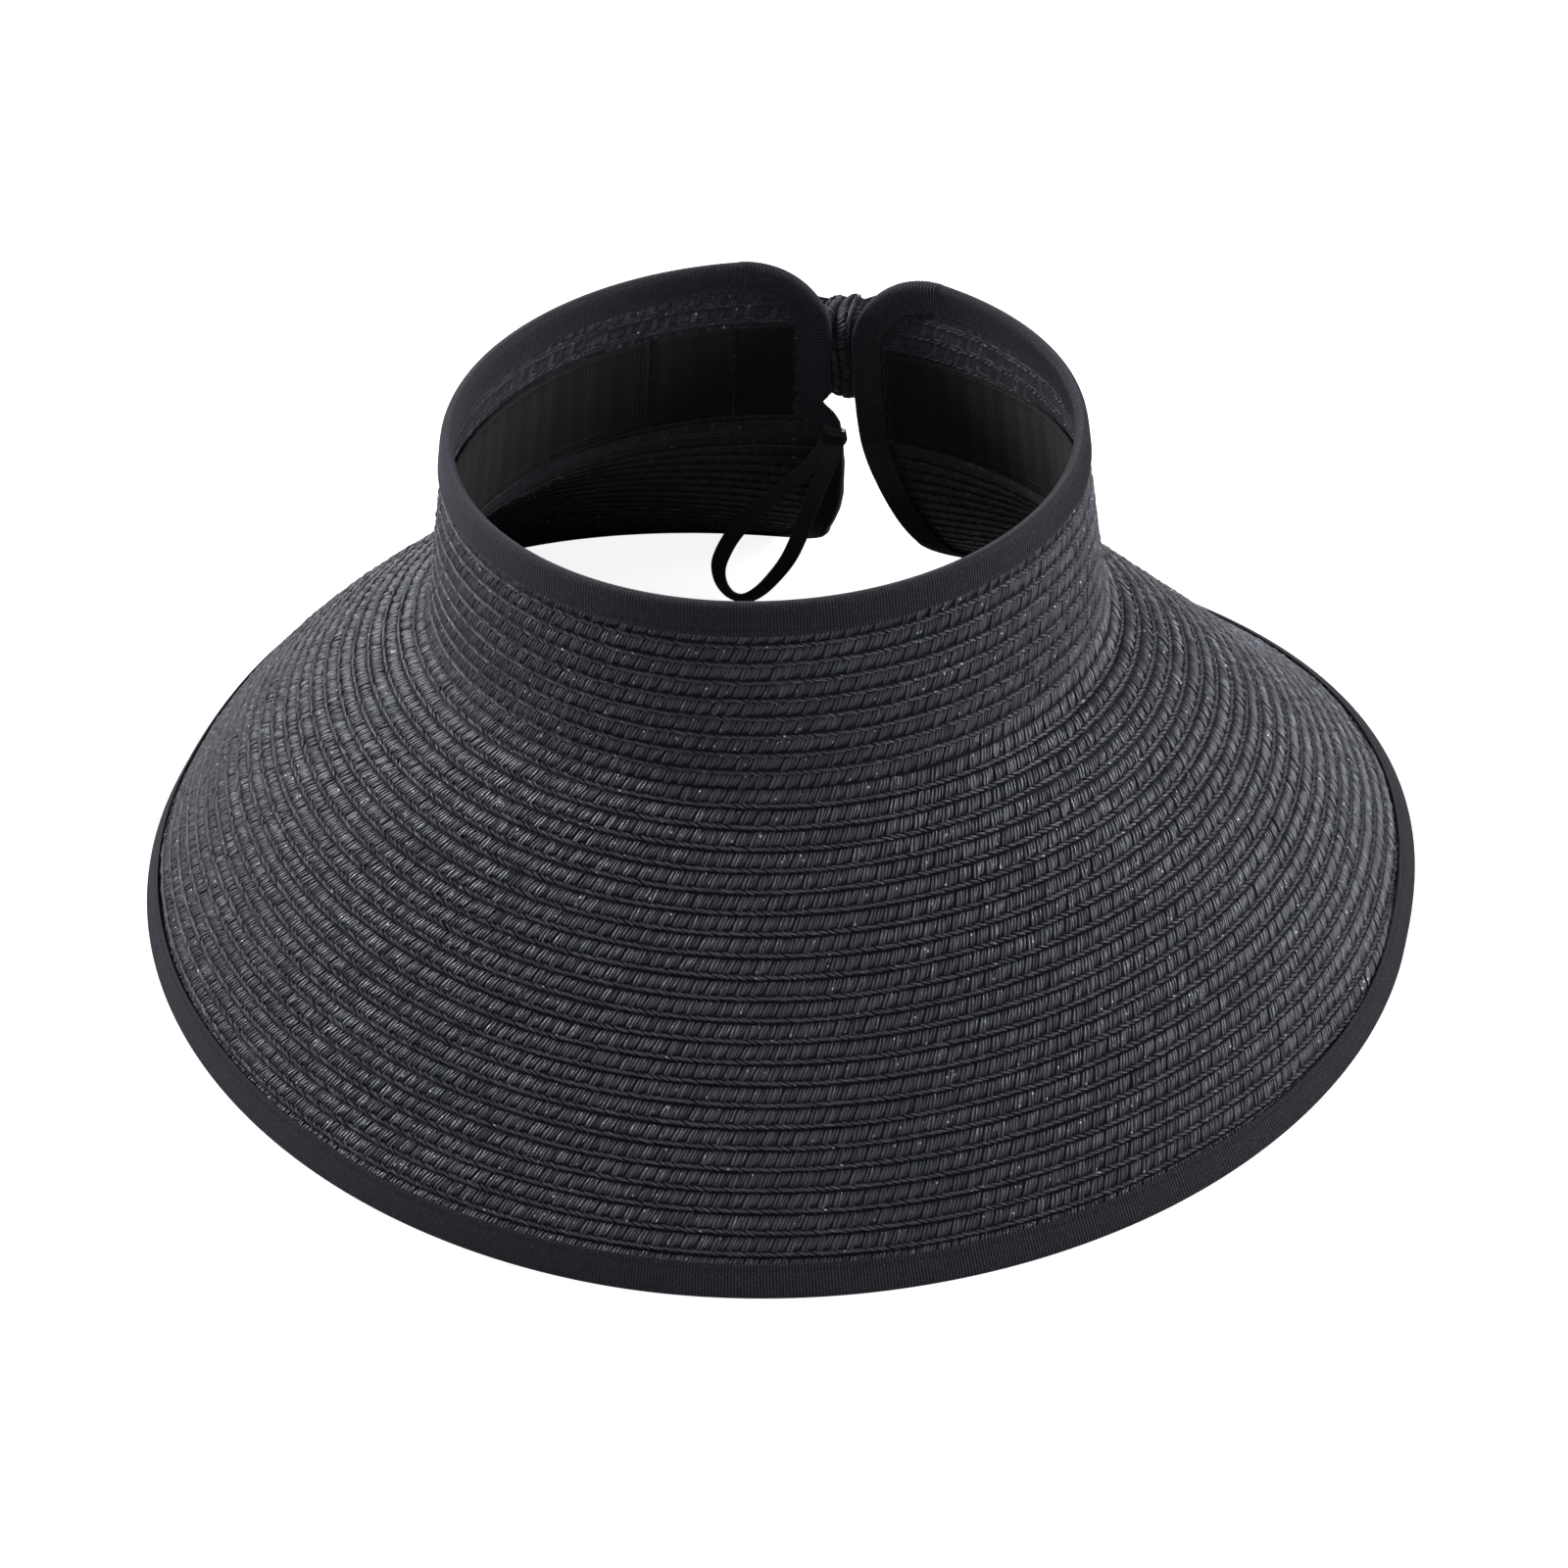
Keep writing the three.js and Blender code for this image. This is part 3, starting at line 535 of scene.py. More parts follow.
# ------------------------------------------------------------------ plaited braid
# a braid's place(t, v, height) is a point t strands along, v mm across and a height off its middle
# stations across and along a strand, fine and coarse
FINE_ACROSS = [-1, -0.86, -0.68, -0.5, -0.32, -0.14, 0, 0.14, 0.32, 0.5, 0.68, 0.86, 1]
COARSE_ACROSS = [-1, -0.82, -0.4, 0.0, 0.4, 0.82, 1]
FINE_ALONG = [0, 0.1, 0.32, 0.6, 0.88, 1]
COARSE_ALONG = [0, 0.2, 0.75, 1]
BEAD_LENGTH = 1.28


@dataclass
class Weave:
    """How the strands on one face of a row lie."""
    seed: int
    side: int = 1            # 1 or -1: the face of the row the strands are on
    bead_low: bool = True    # beads along the lower edge of the row, or the upper
    slant: float = 0.8
    tilt: float = 0.22       # rise across the row
    strand_height: float = 1.0
    bead_height: float = 1.0
    dim: float = 1.0         # scales the "high" attribute, and with it the painted valley shade; below 1 the strands are painted darker
    flat: bool = False       # pressed flat, with a coarser mesh; its strands are painted lighter and get little painted valley shade


def add_strands(build, place, units, rng, weave):
    """The long faces of the strands."""
    def jitter(size):
        return rng.uniform(-size, size, units.shape)

    odd = np.mod(units, 2)
    start, length = (0.28, 3.60) if weave.bead_low else (1.38, 3.68)
    across = np.array(COARSE_ACROSS if weave.flat else FINE_ACROSS)[None, :, None]
    along = np.array(COARSE_ALONG if weave.flat else FINE_ALONG)[None, None, :]

    # each strand is two paper cords side by side, so its face has a deep crease, more or less closed
    crease = 0.55 + 0.40 * rng.uniform(0, 1, units.shape) ** 0.8
    crease = crease * (0.6 if weave.flat else 1.0)
    cords = np.abs(np.sin(np.pi * across)) ** 0.8 * (1 + jitter(0.15) * np.sign(across))
    dome = (1 - crease) * np.sqrt(np.clip(1 - across ** 2 * 0.985, 0, 1)) + crease * cords
    taper = 0.68 + 0.32 * np.sin(np.pi * np.clip(along * 0.94 + 0.03, 0, 1)) ** 0.75
    arch = 0.40 + 0.60 * np.sin(np.pi * np.clip(along * 0.96 + 0.02, 0, 1)) ** 0.65
    face = dome * arch + 0.10 * across * (1 - 2 * along) * dome

    # two strands make one turn of the plait: a broad one and a narrower, shorter one
    width = (1.15 - 0.13 * odd) * (1 + jitter(0.08))
    lean = weave.slant * (0.5 - along) * (1 + jitter(0.2))
    t = units + jitter(0.08) - 0.06 * odd + across * taper * 0.5 * width + lean
    v = start + jitter(0.13) + along * length * (1 - 0.13 * odd) * (1 + jitter(0.06))
    roll = jitter(0.22) * across
    lift = (0.78 + jitter(0.14)) * face - 0.10 * odd + roll * dome
    height = 0.20 + weave.strand_height * lift + weave.tilt * v / PITCH

    wander = units * 0.17 + weave.seed * 1.7 + 1.3 * np.sin(units * 0.041 + weave.seed)
    leaf = 0.6 * rng.uniform(0, 1, units.shape) + 0.4 * (0.5 + 0.5 * np.sin(wander))
    # painted light: flattened strands on the inner face get a lighter colour, and their "high" stays
    # raised so they get little painted valley shade
    leaf = leaf + (0.95 if weave.flat else 0.0)
    high = weave.dim * (0.66 + 0.34 * face if weave.flat else face)
    build.grid(place(t, v, weave.side * height), flip=weave.side < 0,
               leaf=leaf, fibre=across + 3.7 * leaf, high=high)


def add_beads(build, place, units, rng, weave):
    """Each strand turns back along the sewn edge as a slanting lozenge that laps over the next."""
    def jitter(size):
        return rng.uniform(-size, size, units.shape)

    odd = np.mod(units, 2)
    start = 3.86 if weave.bead_low else 0.18
    along = np.linspace(-1, 1, 5 if weave.flat else 7)[None, :, None]
    across = np.linspace(-1, 1, 4 if weave.flat else 5)[None, None, :]
    dome = (np.sqrt(np.clip(1 - np.abs(along) ** 2.2 * 0.98, 0, 1))
            * np.sqrt(np.clip(1 - across ** 2 * 0.94, 0, 1)))
    taper = 1 - 0.5 * along ** 2
    slope = 0.5 + (0.31 + jitter(0.05)) * across * taper + (0.40 + jitter(0.12)) * along
    t = units + 0.35 + jitter(0.12) + along * (0.80 + 0.10 * odd) * (1 + jitter(0.14))
    v = start + jitter(0.07) + slope * BEAD_LENGTH
    lift = (0.62 + 0.14 * odd + jitter(0.15)) * (dome - 0.12 * along)
    height = 0.22 + weave.bead_height * lift + weave.tilt * v / PITCH
    leaf = 0.35 + 0.75 * rng.uniform(0, 1, units.shape)
    high = dome ** 1.5 * (0.80 if weave.flat else 1.05 * weave.dim)
    build.grid(place(t, v, weave.side * height), flip=weave.side < 0,
               leaf=leaf, fibre=across * 0.6, high=high)


def add_braid(build, place, units, weave):
    """The plaited strands on one face of a row, at the whole numbers in units."""
    units = units[:, None, None].astype(float)
    rng = np.random.default_rng(1000 + weave.seed)
    add_strands(build, place, units, rng, weave)
    add_beads(build, place, units, rng, weave)


def add_core(build, place, stations, low=-0.1, high=5.5, inner=0.0):
    """The flat core of a row, which the strands sink into; its outer face is painted dark, as shade
    under the strands, and inner paints its under face lighter, as painted light.
    """
    v = np.array([low, 1.2, 3.2, 5.0, high])
    faces = [place(stations[:, None], v[None], height) for height in (0.34, -0.34)]
    build.slab(*faces, cap=dict(leaf=0.1, fibre=0, high=0),
               leaf=np.repeat([0.25, 0.25 + inner], len(v)), fibre=0,
               high=np.repeat([0.10, inner], len(v)))


# ------------------------------------------------------------------ braid rows of the shell
def shell_row(name, upper_edge, width, bead_low, seed):
    """One sewn row round the C; upper_edge and width are functions of the angle."""
    angles = np.linspace(-182, 182, 1457)
    arc = arc_length(on_shell(angles, upper_edge(angles) + width(angles) * 0.5))
    arc = arc - arc[len(arc) // 2]
    first = arc[0] / PLAIT
    count = int((arc[-1] - arc[0]) / PLAIT)

    def angle_of(t):
        return np.interp((t + first) * PLAIT, arc, angles)

    def place(t, v, height):
        angle = angle_of(t)
        turn = angle * 3.2
        wobble = 0.10 * np.sin(turn * 0.031 + seed) + 0.06 * np.sin(turn * 0.11 + 2 * seed)
        length = upper_edge(angle) + v * (width(angle) / PITCH) + wobble
        return on_shell(angle, np.minimum(length, rim_len(angle) - 2.6), height)

    def clear_of_edges(angle):
        """Where the row is clear of the gap at the back and of the rim."""
        clear = upper_edge(angle) < rim_len(angle) - 6.0
        for v in (1.0, 4.4):
            length = upper_edge(angle) + v
            gap = gap_at(np.minimum(length, RIM_END - 3), 2.2)
            gap = gap + np.where(angle < 0, tuck(length), splay(length))
            in_gap = np.abs(on_shell(angle, length)[..., 0]) < gap
            clear &= ~((np.abs(angle) > 120) & in_gap)
        return clear

    units = np.flatnonzero(clear_of_edges(angle_of(np.arange(count))))
    build = Build()
    add_braid(build, place, units, Weave(seed=seed, bead_low=bead_low))
    # the inner face, painted lighter than the outer face (flat strands, and inner=0.42 on the core)
    add_braid(build, place, units, Weave(
        seed=seed + 500, side=-1, bead_low=bead_low, slant=-0.7, tilt=0.10,
        strand_height=0.20, bead_height=1.05, dim=0.86, flat=True))
    add_core(build, place, np.linspace(units[0], units[-1], 620), low=-0.35, high=5.75, inner=0.42)
    build.object(name + "_plait", "shell", "straw_braid", STRAW, replaces=name)


def crown_height(angle):
    return top_len(angle) - CROWN_INSET


for row in range(CROWN_ROWS):
    shell_row("crown_braid_row_%02d" % (row + 1),
              lambda angle: -crown_height(angle) + crown_height(angle) * row / CROWN_ROWS,
              lambda angle: crown_height(angle) / CROWN_ROWS, bead_low=False, seed=11 + row)
for row in range(BRIM_ROWS):
    shell_row("brim_braid_row_%02d" % (row + 1),
              lambda angle: np.full(np.shape(angle), row * PITCH),
              lambda angle: np.full(np.shape(angle), PITCH), bead_low=True, seed=41 + row)


# ------------------------------------------------------------------ edge tape
@dataclass
class Edge:
    """A taped edge of the shell; the tape runs along it, round both corners and along the ends."""
    sign: int                # -1 above the fold, 1 below
    edge_len: object         # its distance from the fold, a function of the angle
    corner_u: float
    corner_l: float
    radius: float
    end_l: float             # where the tape stops, near the fold
    counts: tuple            # stations along the edge, the corner and the end


EDGES = {
    "crown_edge_tape": Edge(-1, top_len, TOP_CORNER_U, TOP_CORNER_L, TOP_RADIUS, -1.2,
                            (700, 70, 90)),
    "brim_edge_tape": Edge(1, rim_len, RIM_CORNER_U, RIM_CORNER_L, RIM_RADIUS, -0.9,
                           (1250, 80, 170)),
}

# section of the tape: (depth in from the edge, height, 1 where it is ribbed), from the outer leg
# round the edge to the inner leg and back up inside
GROOVE = TAPE_LEG - 1.75                         # the stitches pull the tape in here
TAPE_PROFILE = np.array([
    (TAPE_LEG, TAPE_HALF - TAPE_THICK * 0.5, 0), (TAPE_LEG, TAPE_HALF - 0.1, 1),
    (TAPE_LEG - 0.35, TAPE_HALF, 1), (TAPE_LEG - 1.5, TAPE_HALF, 1),
    (GROOVE, TAPE_HALF - 0.12, 1), (TAPE_LEG - 2.0, TAPE_HALF, 1),
    (5.0, TAPE_HALF + 0.04, 1), (3.0, TAPE_HALF + 0.03, 1), (1.6, TAPE_HALF - 0.05, 1),
    (0.7, TAPE_HALF * 0.82, 1), (0.15, TAPE_HALF * 0.45, 1),
    (0.0, 0.0, 1),
    (0.15, -TAPE_HALF * 0.45, 1), (0.7, -TAPE_HALF * 0.82, 1), (1.6, -TAPE_HALF + 0.05, 1),
    (4.0, -TAPE_HALF, 1), (TAPE_LEG - 2.0, -TAPE_HALF, 1),
    (GROOVE, -TAPE_HALF + 0.12, 1), (TAPE_LEG - 1.5, -TAPE_HALF, 1),
    (TAPE_LEG - 0.35, -TAPE_HALF, 1), (TAPE_LEG, -TAPE_HALF + 0.1, 1),
    (TAPE_LEG, -TAPE_HALF + TAPE_THICK, 0), (TAPE_LEG - 2, -TAPE_HALF + TAPE_THICK, 0),
    (TAPE_LEG - 3, -0.2, 0), (TAPE_LEG - 3, 0.2, 0), (TAPE_LEG - 2, TAPE_HALF - TAPE_THICK, 0)])


def tape_path(edge, depth):
    """Angle and length of every profile point, from the left end round the front to the right."""
    edge_count, corner_count, end_count = edge.counts
    last = float(angle_for(edge.corner_u, edge.sign * (TOP_END if edge.sign < 0 else RIM_END)))
    edge_angle = np.linspace(0, last, edge_count)[:, None] + 0 * depth
    edge_length = edge.sign * (edge.edge_len(edge_angle) - depth)

    turn = np.linspace(0, math.pi / 2, corner_count)[1:, None]
    corner_u = edge.corner_u - np.sin(turn) * (edge.radius - depth)
    corner_length = edge.corner_l + edge.sign * np.cos(turn) * (edge.radius - depth)
    end_length = np.linspace(edge.corner_l, edge.end_l, end_count)[1:, None] + 0 * depth
    u = np.concatenate([corner_u, gap_line(end_length) + depth])
    length = np.concatenate([corner_length, end_length])

    # the two ends do not sit quite alike
    u = np.abs(sample(SHELL, angle_for(np.maximum(u, 0.01), length), length)[..., 0])
    left, right = (
        np.concatenate([edge_angle, angle_for(np.maximum(u + extra(length), 0.01), length)])
        for extra in (tuck, splay))
    length = np.concatenate([edge_length, length])
    return np.concatenate([-left[:0:-1], right]), np.concatenate([length[:0:-1], length])


def thread_spindles(centres, half_length, radius, count):
    """Stations along each stitch, and the offsets of its round section in two directions."""
    along = np.linspace(-1, 1, count)
    ring = np.linspace(0, 2 * math.pi, 7)[:-1]
    stations = centres[:, None, None] + along[None, :, None] * half_length
    r = radius * np.sqrt(np.clip(1 - (along * 0.93) ** 2, 0, 1))[None, :, None]
    return stations, r * np.cos(ring), r * np.sin(ring)


def edge_tape(name, edge):
    depth, height, ribbed = TAPE_PROFILE.T
    grooves = np.flatnonzero(np.isclose(depth, GROOVE))
    path_angle, path_length = tape_path(edge, depth)
    arc = arc_length(on_shell(path_angle[:, grooves[0]], path_length[:, grooves[0]]))
    # even stations, four to a rib
    along = np.linspace(0, arc[-1], int(arc[-1] / TAPE_RIB * 4))
    angle, length = (np.stack([np.interp(along, arc, column) for column in grid.T], 1)
                     for grid in (path_angle, path_length))
    ribs = np.cos(along / TAPE_RIB * 2 * math.pi)[:, None] * 0.10
    # the sewn legs wander a little, except at the back
    sag = (np.sin(along * 0.045) * 0.16 + np.sin(along * 0.13 + 1) * 0.07)[:, None]
    sag = sag * (depth > TAPE_LEG - 2.2)
    length = length - edge.sign * np.where(np.abs(angle) < 150, sag, 0)
    points = on_shell(angle, length,
                      height + np.sign(height) * ribbed * ribs * (np.abs(height) > 0.3))
    points[..., 2] = np.maximum(points[..., 2], 0.0)
    build = Build()
    build.grid(points, wrap_v=True, rib=(along / TAPE_RIB)[:, None])
    build.object(name + "_ribbed", "shell", "edge_tape", TAPE, replaces=name)

    # a row of stitches along the groove of both faces
    gap = 2.9
    centres = (np.arange(int(arc[-1] / gap) - 2) + 1.5) * gap
    stations, down, out = thread_spindles(centres, half_length=1.05, radius=0.17, count=7)
    build = Build()
    for side, groove in zip((1, -1), grooves):
        build.grid(on_shell(np.interp(stations, along, angle[:, groove]),
                            np.interp(stations, along, length[:, groove]) + down,
                            side * (TAPE_HALF - 0.03) + out), wrap_v=True)
    build.object(name + "_stitches", "shell", "edge_tape", THREAD)


for name, edge in EDGES.items():
    edge_tape(name, edge)

# ------------------------------------------------------------------ sweatband
# stations down the band, in units of which BAND_UNITS make its height; closer near both seams
BAND_UNITS = 31
BAND_STATIONS = np.array([
    0, 0.4, 0.9, 1.3, 1.8, 2.4, 3.2, 5, 7.5, 10.5, 13.5, 16.5, 19.5, 22.5, 25, 26.8, 27.6, 28.1,
    28.6, 29.1, 29.5, 29.9, 30.4, BAND_UNITS])
BAND_SEAMS = (1.3, 28.6, 29.9)
BAND_RIB = 1.3
BAND_BACK = 1.15                                 # the outer face, next to the shell


def band_length(angle, v):
    """Length from the fold at station v; the band sits lower towards the back."""
    drop = 5.4 * smoothstep((angle - 110) / 60)
    return -top_len(angle) + 20.4 + drop + v * (29.4 / BAND_UNITS)


def sweatband(name, start, end, ribbed):
    """A length of knit band inside the crown between two angles."""
    total = abs(end - start) * BAND_MM_PER_DEG
    count = int(total / BAND_RIB * 4) if ribbed else int(total / 0.6)
    angle = np.linspace(start, end, count)[:, None]
    along = np.linspace(0, total, count)[:, None]
    v = BAND_STATIONS[None]
    rib = (0.5 + 0.5 * np.cos(2 * math.pi * along / BAND_RIB)) * (0.15 if ribbed else 0.0)
    # gathered knit: soft waves, pulled in along the seams and the two ends
    wave = 0.22 * np.sin(along * 0.33) * np.sin(np.pi * v / BAND_UNITS)
    wave = wave + 0.1 * np.sin(along * 0.9 + 1)
    seam = sum(np.exp(-((v - at) / wide) ** 2) for at, wide in zip(BAND_SEAMS, (0.7, 0.6, 0.5)))
    ends = np.exp(-(along / 0.9) ** 2) + np.exp(-((along - total) / 0.9) ** 2)
    depth = 1.75 + rib * (1 - 0.75 * np.clip(seam, 0, 1)) + 0.18 + wave * 0.9
    depth = np.clip(depth - 0.35 * seam - 0.35 * ends, 1.25, 2.6)

    slot, material = ("sweatband_rib_knit", RIB) if ribbed else ("sweatband_plain_knit", PLAIN)
    length = band_length(angle, v)
    build = Build()
    build.slab(on_shell(angle, length, -depth), on_shell(angle, length, -BAND_BACK))
    build.object(name + "_knit", "shell", slot, material, replaces=name)

    stitch_count = int(total / 2.6)
    centres = (np.arange(stitch_count) + 0.5) * (total / stitch_count)
    stations, down, out = thread_spindles(centres, half_length=0.95, radius=0.15, count=6)
    stitch_angle = start + (end - start) * stations / total
    build = Build()
    for seam_v in BAND_SEAMS:
        build.grid(on_shell(stitch_angle, band_length(stitch_angle, seam_v) + down, -1.62 + out),
                   wrap_v=True)
    build.object(name + "_stitches", "shell", slot, THREAD)


sweatband("sweatband_main", -142.5, 172.0, ribbed=True)
sweatband("sweatband_smooth_panel", -158.6, -143, ribbed=False)
sweatband("sweatband_end_panel", -170.0, -159.1, ribbed=True)


# ------------------------------------------------------------------ helpers for closure and bow
def deg_right(u):
    """Angle u mm to the right (+X) of the centre plane, at the closure."""
    return float(angle_for(u, CLOSE_L))


def deg_left(u):
    return 360.0 - deg_right(u)


def frame_at(angle, length, height):
    """Points on the shell, with unit directions round it, down it and out of it."""
    p = on_shell(angle, length, height)
    around = on_shell(angle + 0.3, length, height) - on_shell(angle - 0.3, length, height)
    down = on_shell(angle, length + 0.5, height) - on_shell(angle, length - 0.5, height)
    return p, unit(around), unit(down), unit(on_shell(angle, length, height + 1.0) - p)


def outer(directions, amounts):
    """Each direction (m, 3) times each amount (k,) or (m, k), as (m, k, 3)."""
    return directions[:, None] * np.atleast_2d(amounts)[..., None]


def add_tubes(build, path, side, radius, ring):
    """Thin tubes along paths (m, k, 3); side (m, 3) is square to each path's plane."""
    tangent = unit(np.gradient(path, axis=1))
    side = side[:, None, :] + 0 * path
    other = unit(np.cross(tangent, side))
    a = np.linspace(0, 2 * math.pi, ring + 1)[:-1][:, None]
    radius = np.broadcast_to(radius, path.shape[1])[None, :, None, None]
    section = np.cos(a) * side[:, :, None] + np.sin(a) * other[:, :, None]
    build.grid(path[:, :, None] + radius * section, wrap_v=True)


def add_stitches(build, angle, length, height, round_shell, size, radius=0.16, lift=0.05):
    """A short thread at each place, lying round the shell or down it."""
    angle, length, height = (np.asarray(x, float).ravel()
                             for x in np.broadcast_arrays(angle, length, height))
    p, around, down, out = frame_at(angle, length, height)
    run, side = (around, down) if round_shell else (down, around)
    k = np.linspace(-1, 1, 7)
    arch = np.sqrt(np.clip(1 - np.abs(k) ** 3, 0, 1))
    path = p[:, None] + outer(run, k * size / 2)
    path = path + outer(out, lift + radius * 0.9 * arch - radius * 0.7)
    add_tubes(build, path, side, radius * np.array([0.35, 0.8, 1, 1, 1, 0.8, 0.35]), ring=6)


def add_sheet(build, angle, length, inner, outer_height, relief):
    """A closed sheet over angle x length, its outer face raised and inner face sunk by relief."""
    angle, length = angle[:, None], length[None]
    build.slab(on_shell(angle, length, outer_height + relief),
               on_shell(angle, length, inner - 0.5 * relief))


def end_bump(along, width):
    """1 at both ends of a run of stations that starts at 0, falling to 0 within a few widths."""
    return np.exp(-(along / width) ** 2) + np.exp(-((along - along[-1]) / width) ** 2)


def catmull(points, count):
    """A Catmull-Rom curve through points, at even steps of its length, and those steps."""
    ends = np.vstack([2 * points[0] - points[1], points, 2 * points[-1] - points[-2]])
    parts = []
    for i in range(1, len(ends) - 2):
        t = np.linspace(0, 1, 40, endpoint=i == len(ends) - 3)[:, None]
        p0, p1, p2, p3 = ends[i - 1:i + 3]
        parts.append(0.5 * (2 * p1 + (p2 - p0) * t + (2 * p0 - 5 * p1 + 4 * p2 - p3) * t ** 2
                            + (3 * p1 - p0 - 3 * p2 + p3) * t ** 3))
    curve = np.concatenate(parts)
    arc = arc_length(curve)
    steps = np.linspace(0, arc[-1], count)
    return np.stack([np.interp(steps, arc, column) for column in curve.T], 1), steps


# ------------------------------------------------------------------ closure strap
STRAP_STEP_FROM, STRAP_STEP_TO = deg_left(9), deg_left(20)


def strap_inner(angle):
    """Height of the strap's inner face: clear of the patches, then down on the left end."""
    q = smoothstep((angle - STRAP_STEP_FROM) / (STRAP_STEP_TO - STRAP_STEP_FROM))
    return STRAP_OUT + (STRAP_IN - STRAP_OUT) * q


def strap_thread(angle):
    return strap_inner(angle) + 1.1


def closure_strap():
    angle = np.linspace(deg_right(36), deg_left(49), 420)
    w = np.linspace(-STRAP_HALF, STRAP_HALF, 74)
    along = (angle - angle[0]) * CLOSE_MM_PER_DEG
    # arrow-shaped weave with plain selvedges
    weave = (0.075 * np.cos(2 * math.pi * (along[:, None] / 1.35 + np.abs(w) / 1.5))
             + 0.03 * np.cos(2 * math.pi * w / 0.62))
    selvedge = np.exp(-((STRAP_HALF - np.abs(w)) / 0.45) ** 2)
    weave = weave * (1 - selvedge) + (0.05 - 0.22 * (np.abs(w) > STRAP_HALF - 0.2))
    weave = weave - 0.25 * end_bump(along, 0.5)[:, None]
    inner = strap_inner(angle)[:, None]
    build = Build()
    add_sheet(build, angle, CLOSE_L + w, inner + 0.08, inner + 1.05, weave)
    build.object("closure_strap_woven", "bow_closure", "closure_webbing", WEB,
                 replaces="closure_strap")

    build = Build()
    stops = np.arange(angle[0] + 1.0, angle[-1] - 0.8, 1.75)
    for edge in (-1, 1):
        add_stitches(build, stops, CLOSE_L + edge * (STRAP_HALF - 1.7), strap_thread(stops),
                     round_shell=True, size=1.9)
    # the sewn box with its cross at the left end
    box_start, box_end = angle[-1] - 9.5, angle[-1] - 1.2
    box_half = 5.8
    for x in (box_start, box_end):
        add_stitches(build, x, CLOSE_L + np.arange(-5.5, 5.6, 2.2), strap_thread(x),
                     round_shell=False, size=1.8)
    share = np.linspace(0.06, 0.94, 8)
    cross_angle = box_start + (box_end - box_start) * share
    k = np.linspace(-1, 1, 6)
    for edge in (-1, 1):
        p, around, down, out = frame_at(
            cross_angle, CLOSE_L + edge * (-box_half + 2 * box_half * share),
            strap_thread(cross_angle))
        run = unit((box_end - box_start) * CLOSE_MM_PER_DEG * around + edge * 2 * box_half * down)
        path = p[:, None] + outer(run, k * 0.8)
        path = path + outer(out, 0.12 * np.sqrt(1 - np.abs(k) ** 3) - 0.05)
        add_tubes(build, path, np.cross(out, run),
                  0.15 * np.array([0.4, 0.9, 1, 1, 0.9, 0.4]), ring=6)
    build.object("closure_strap_stitches", "bow_closure", "closure_webbing", THREAD)


# ------------------------------------------------------------------ loop and hook patches
# a small crook of the hook side: (sideways, height, tube radius)
CROOK_SIDE, CROOK_HEIGHT, CROOK_RADIUS = np.array([
    (0, 0, 0.11), (0, -0.25, 0.09), (0.03, -0.42, 0.085),
    (0.14, -0.52, 0.08), (0.28, -0.46, 0.075), (0.34, -0.33, 0.05)]).T


def add_loops(build, rng, angle, length, base):
    """Soft arches standing out from a patch, each turned its own way."""
    p, around, down, out = frame_at(angle, length, base)
    shape = (len(angle), 1)
    turn = rng.uniform(0, math.pi, len(angle))[:, None]
    run = np.cos(turn) * around + np.sin(turn) * down
    side = np.cross(out, run)
    k = np.linspace(0, math.pi, 7)[None]
    width = rng.uniform(0.42, 0.62, shape)
    height = rng.uniform(0.42, 0.62, shape)
    lean = rng.uniform(-0.25, 0.25, shape)
    path = (p[:, None] + outer(run, width * -np.cos(k)) + outer(out, height * np.sin(k))
            + outer(side, lean * np.sin(k)))
    add_tubes(build, path, side, 0.075, ring=4)


def add_hooks(build, rng, angle, length, base):
    """Small crooks standing in from a patch, every other one turned round."""
    p, around, down, out = frame_at(angle, length, base)
    turn = rng.uniform(-0.3, 0.3, len(angle)) + np.where(np.arange(len(angle)) % 2, math.pi, 0)
    turn = turn[:, None]
    run = np.cos(turn) * around + np.sin(turn) * down
    path = p[:, None] + outer(run, CROOK_SIDE) + outer(out, CROOK_HEIGHT)
    add_tubes(build, path, np.cross(out, run), CROOK_RADIUS, ring=4)


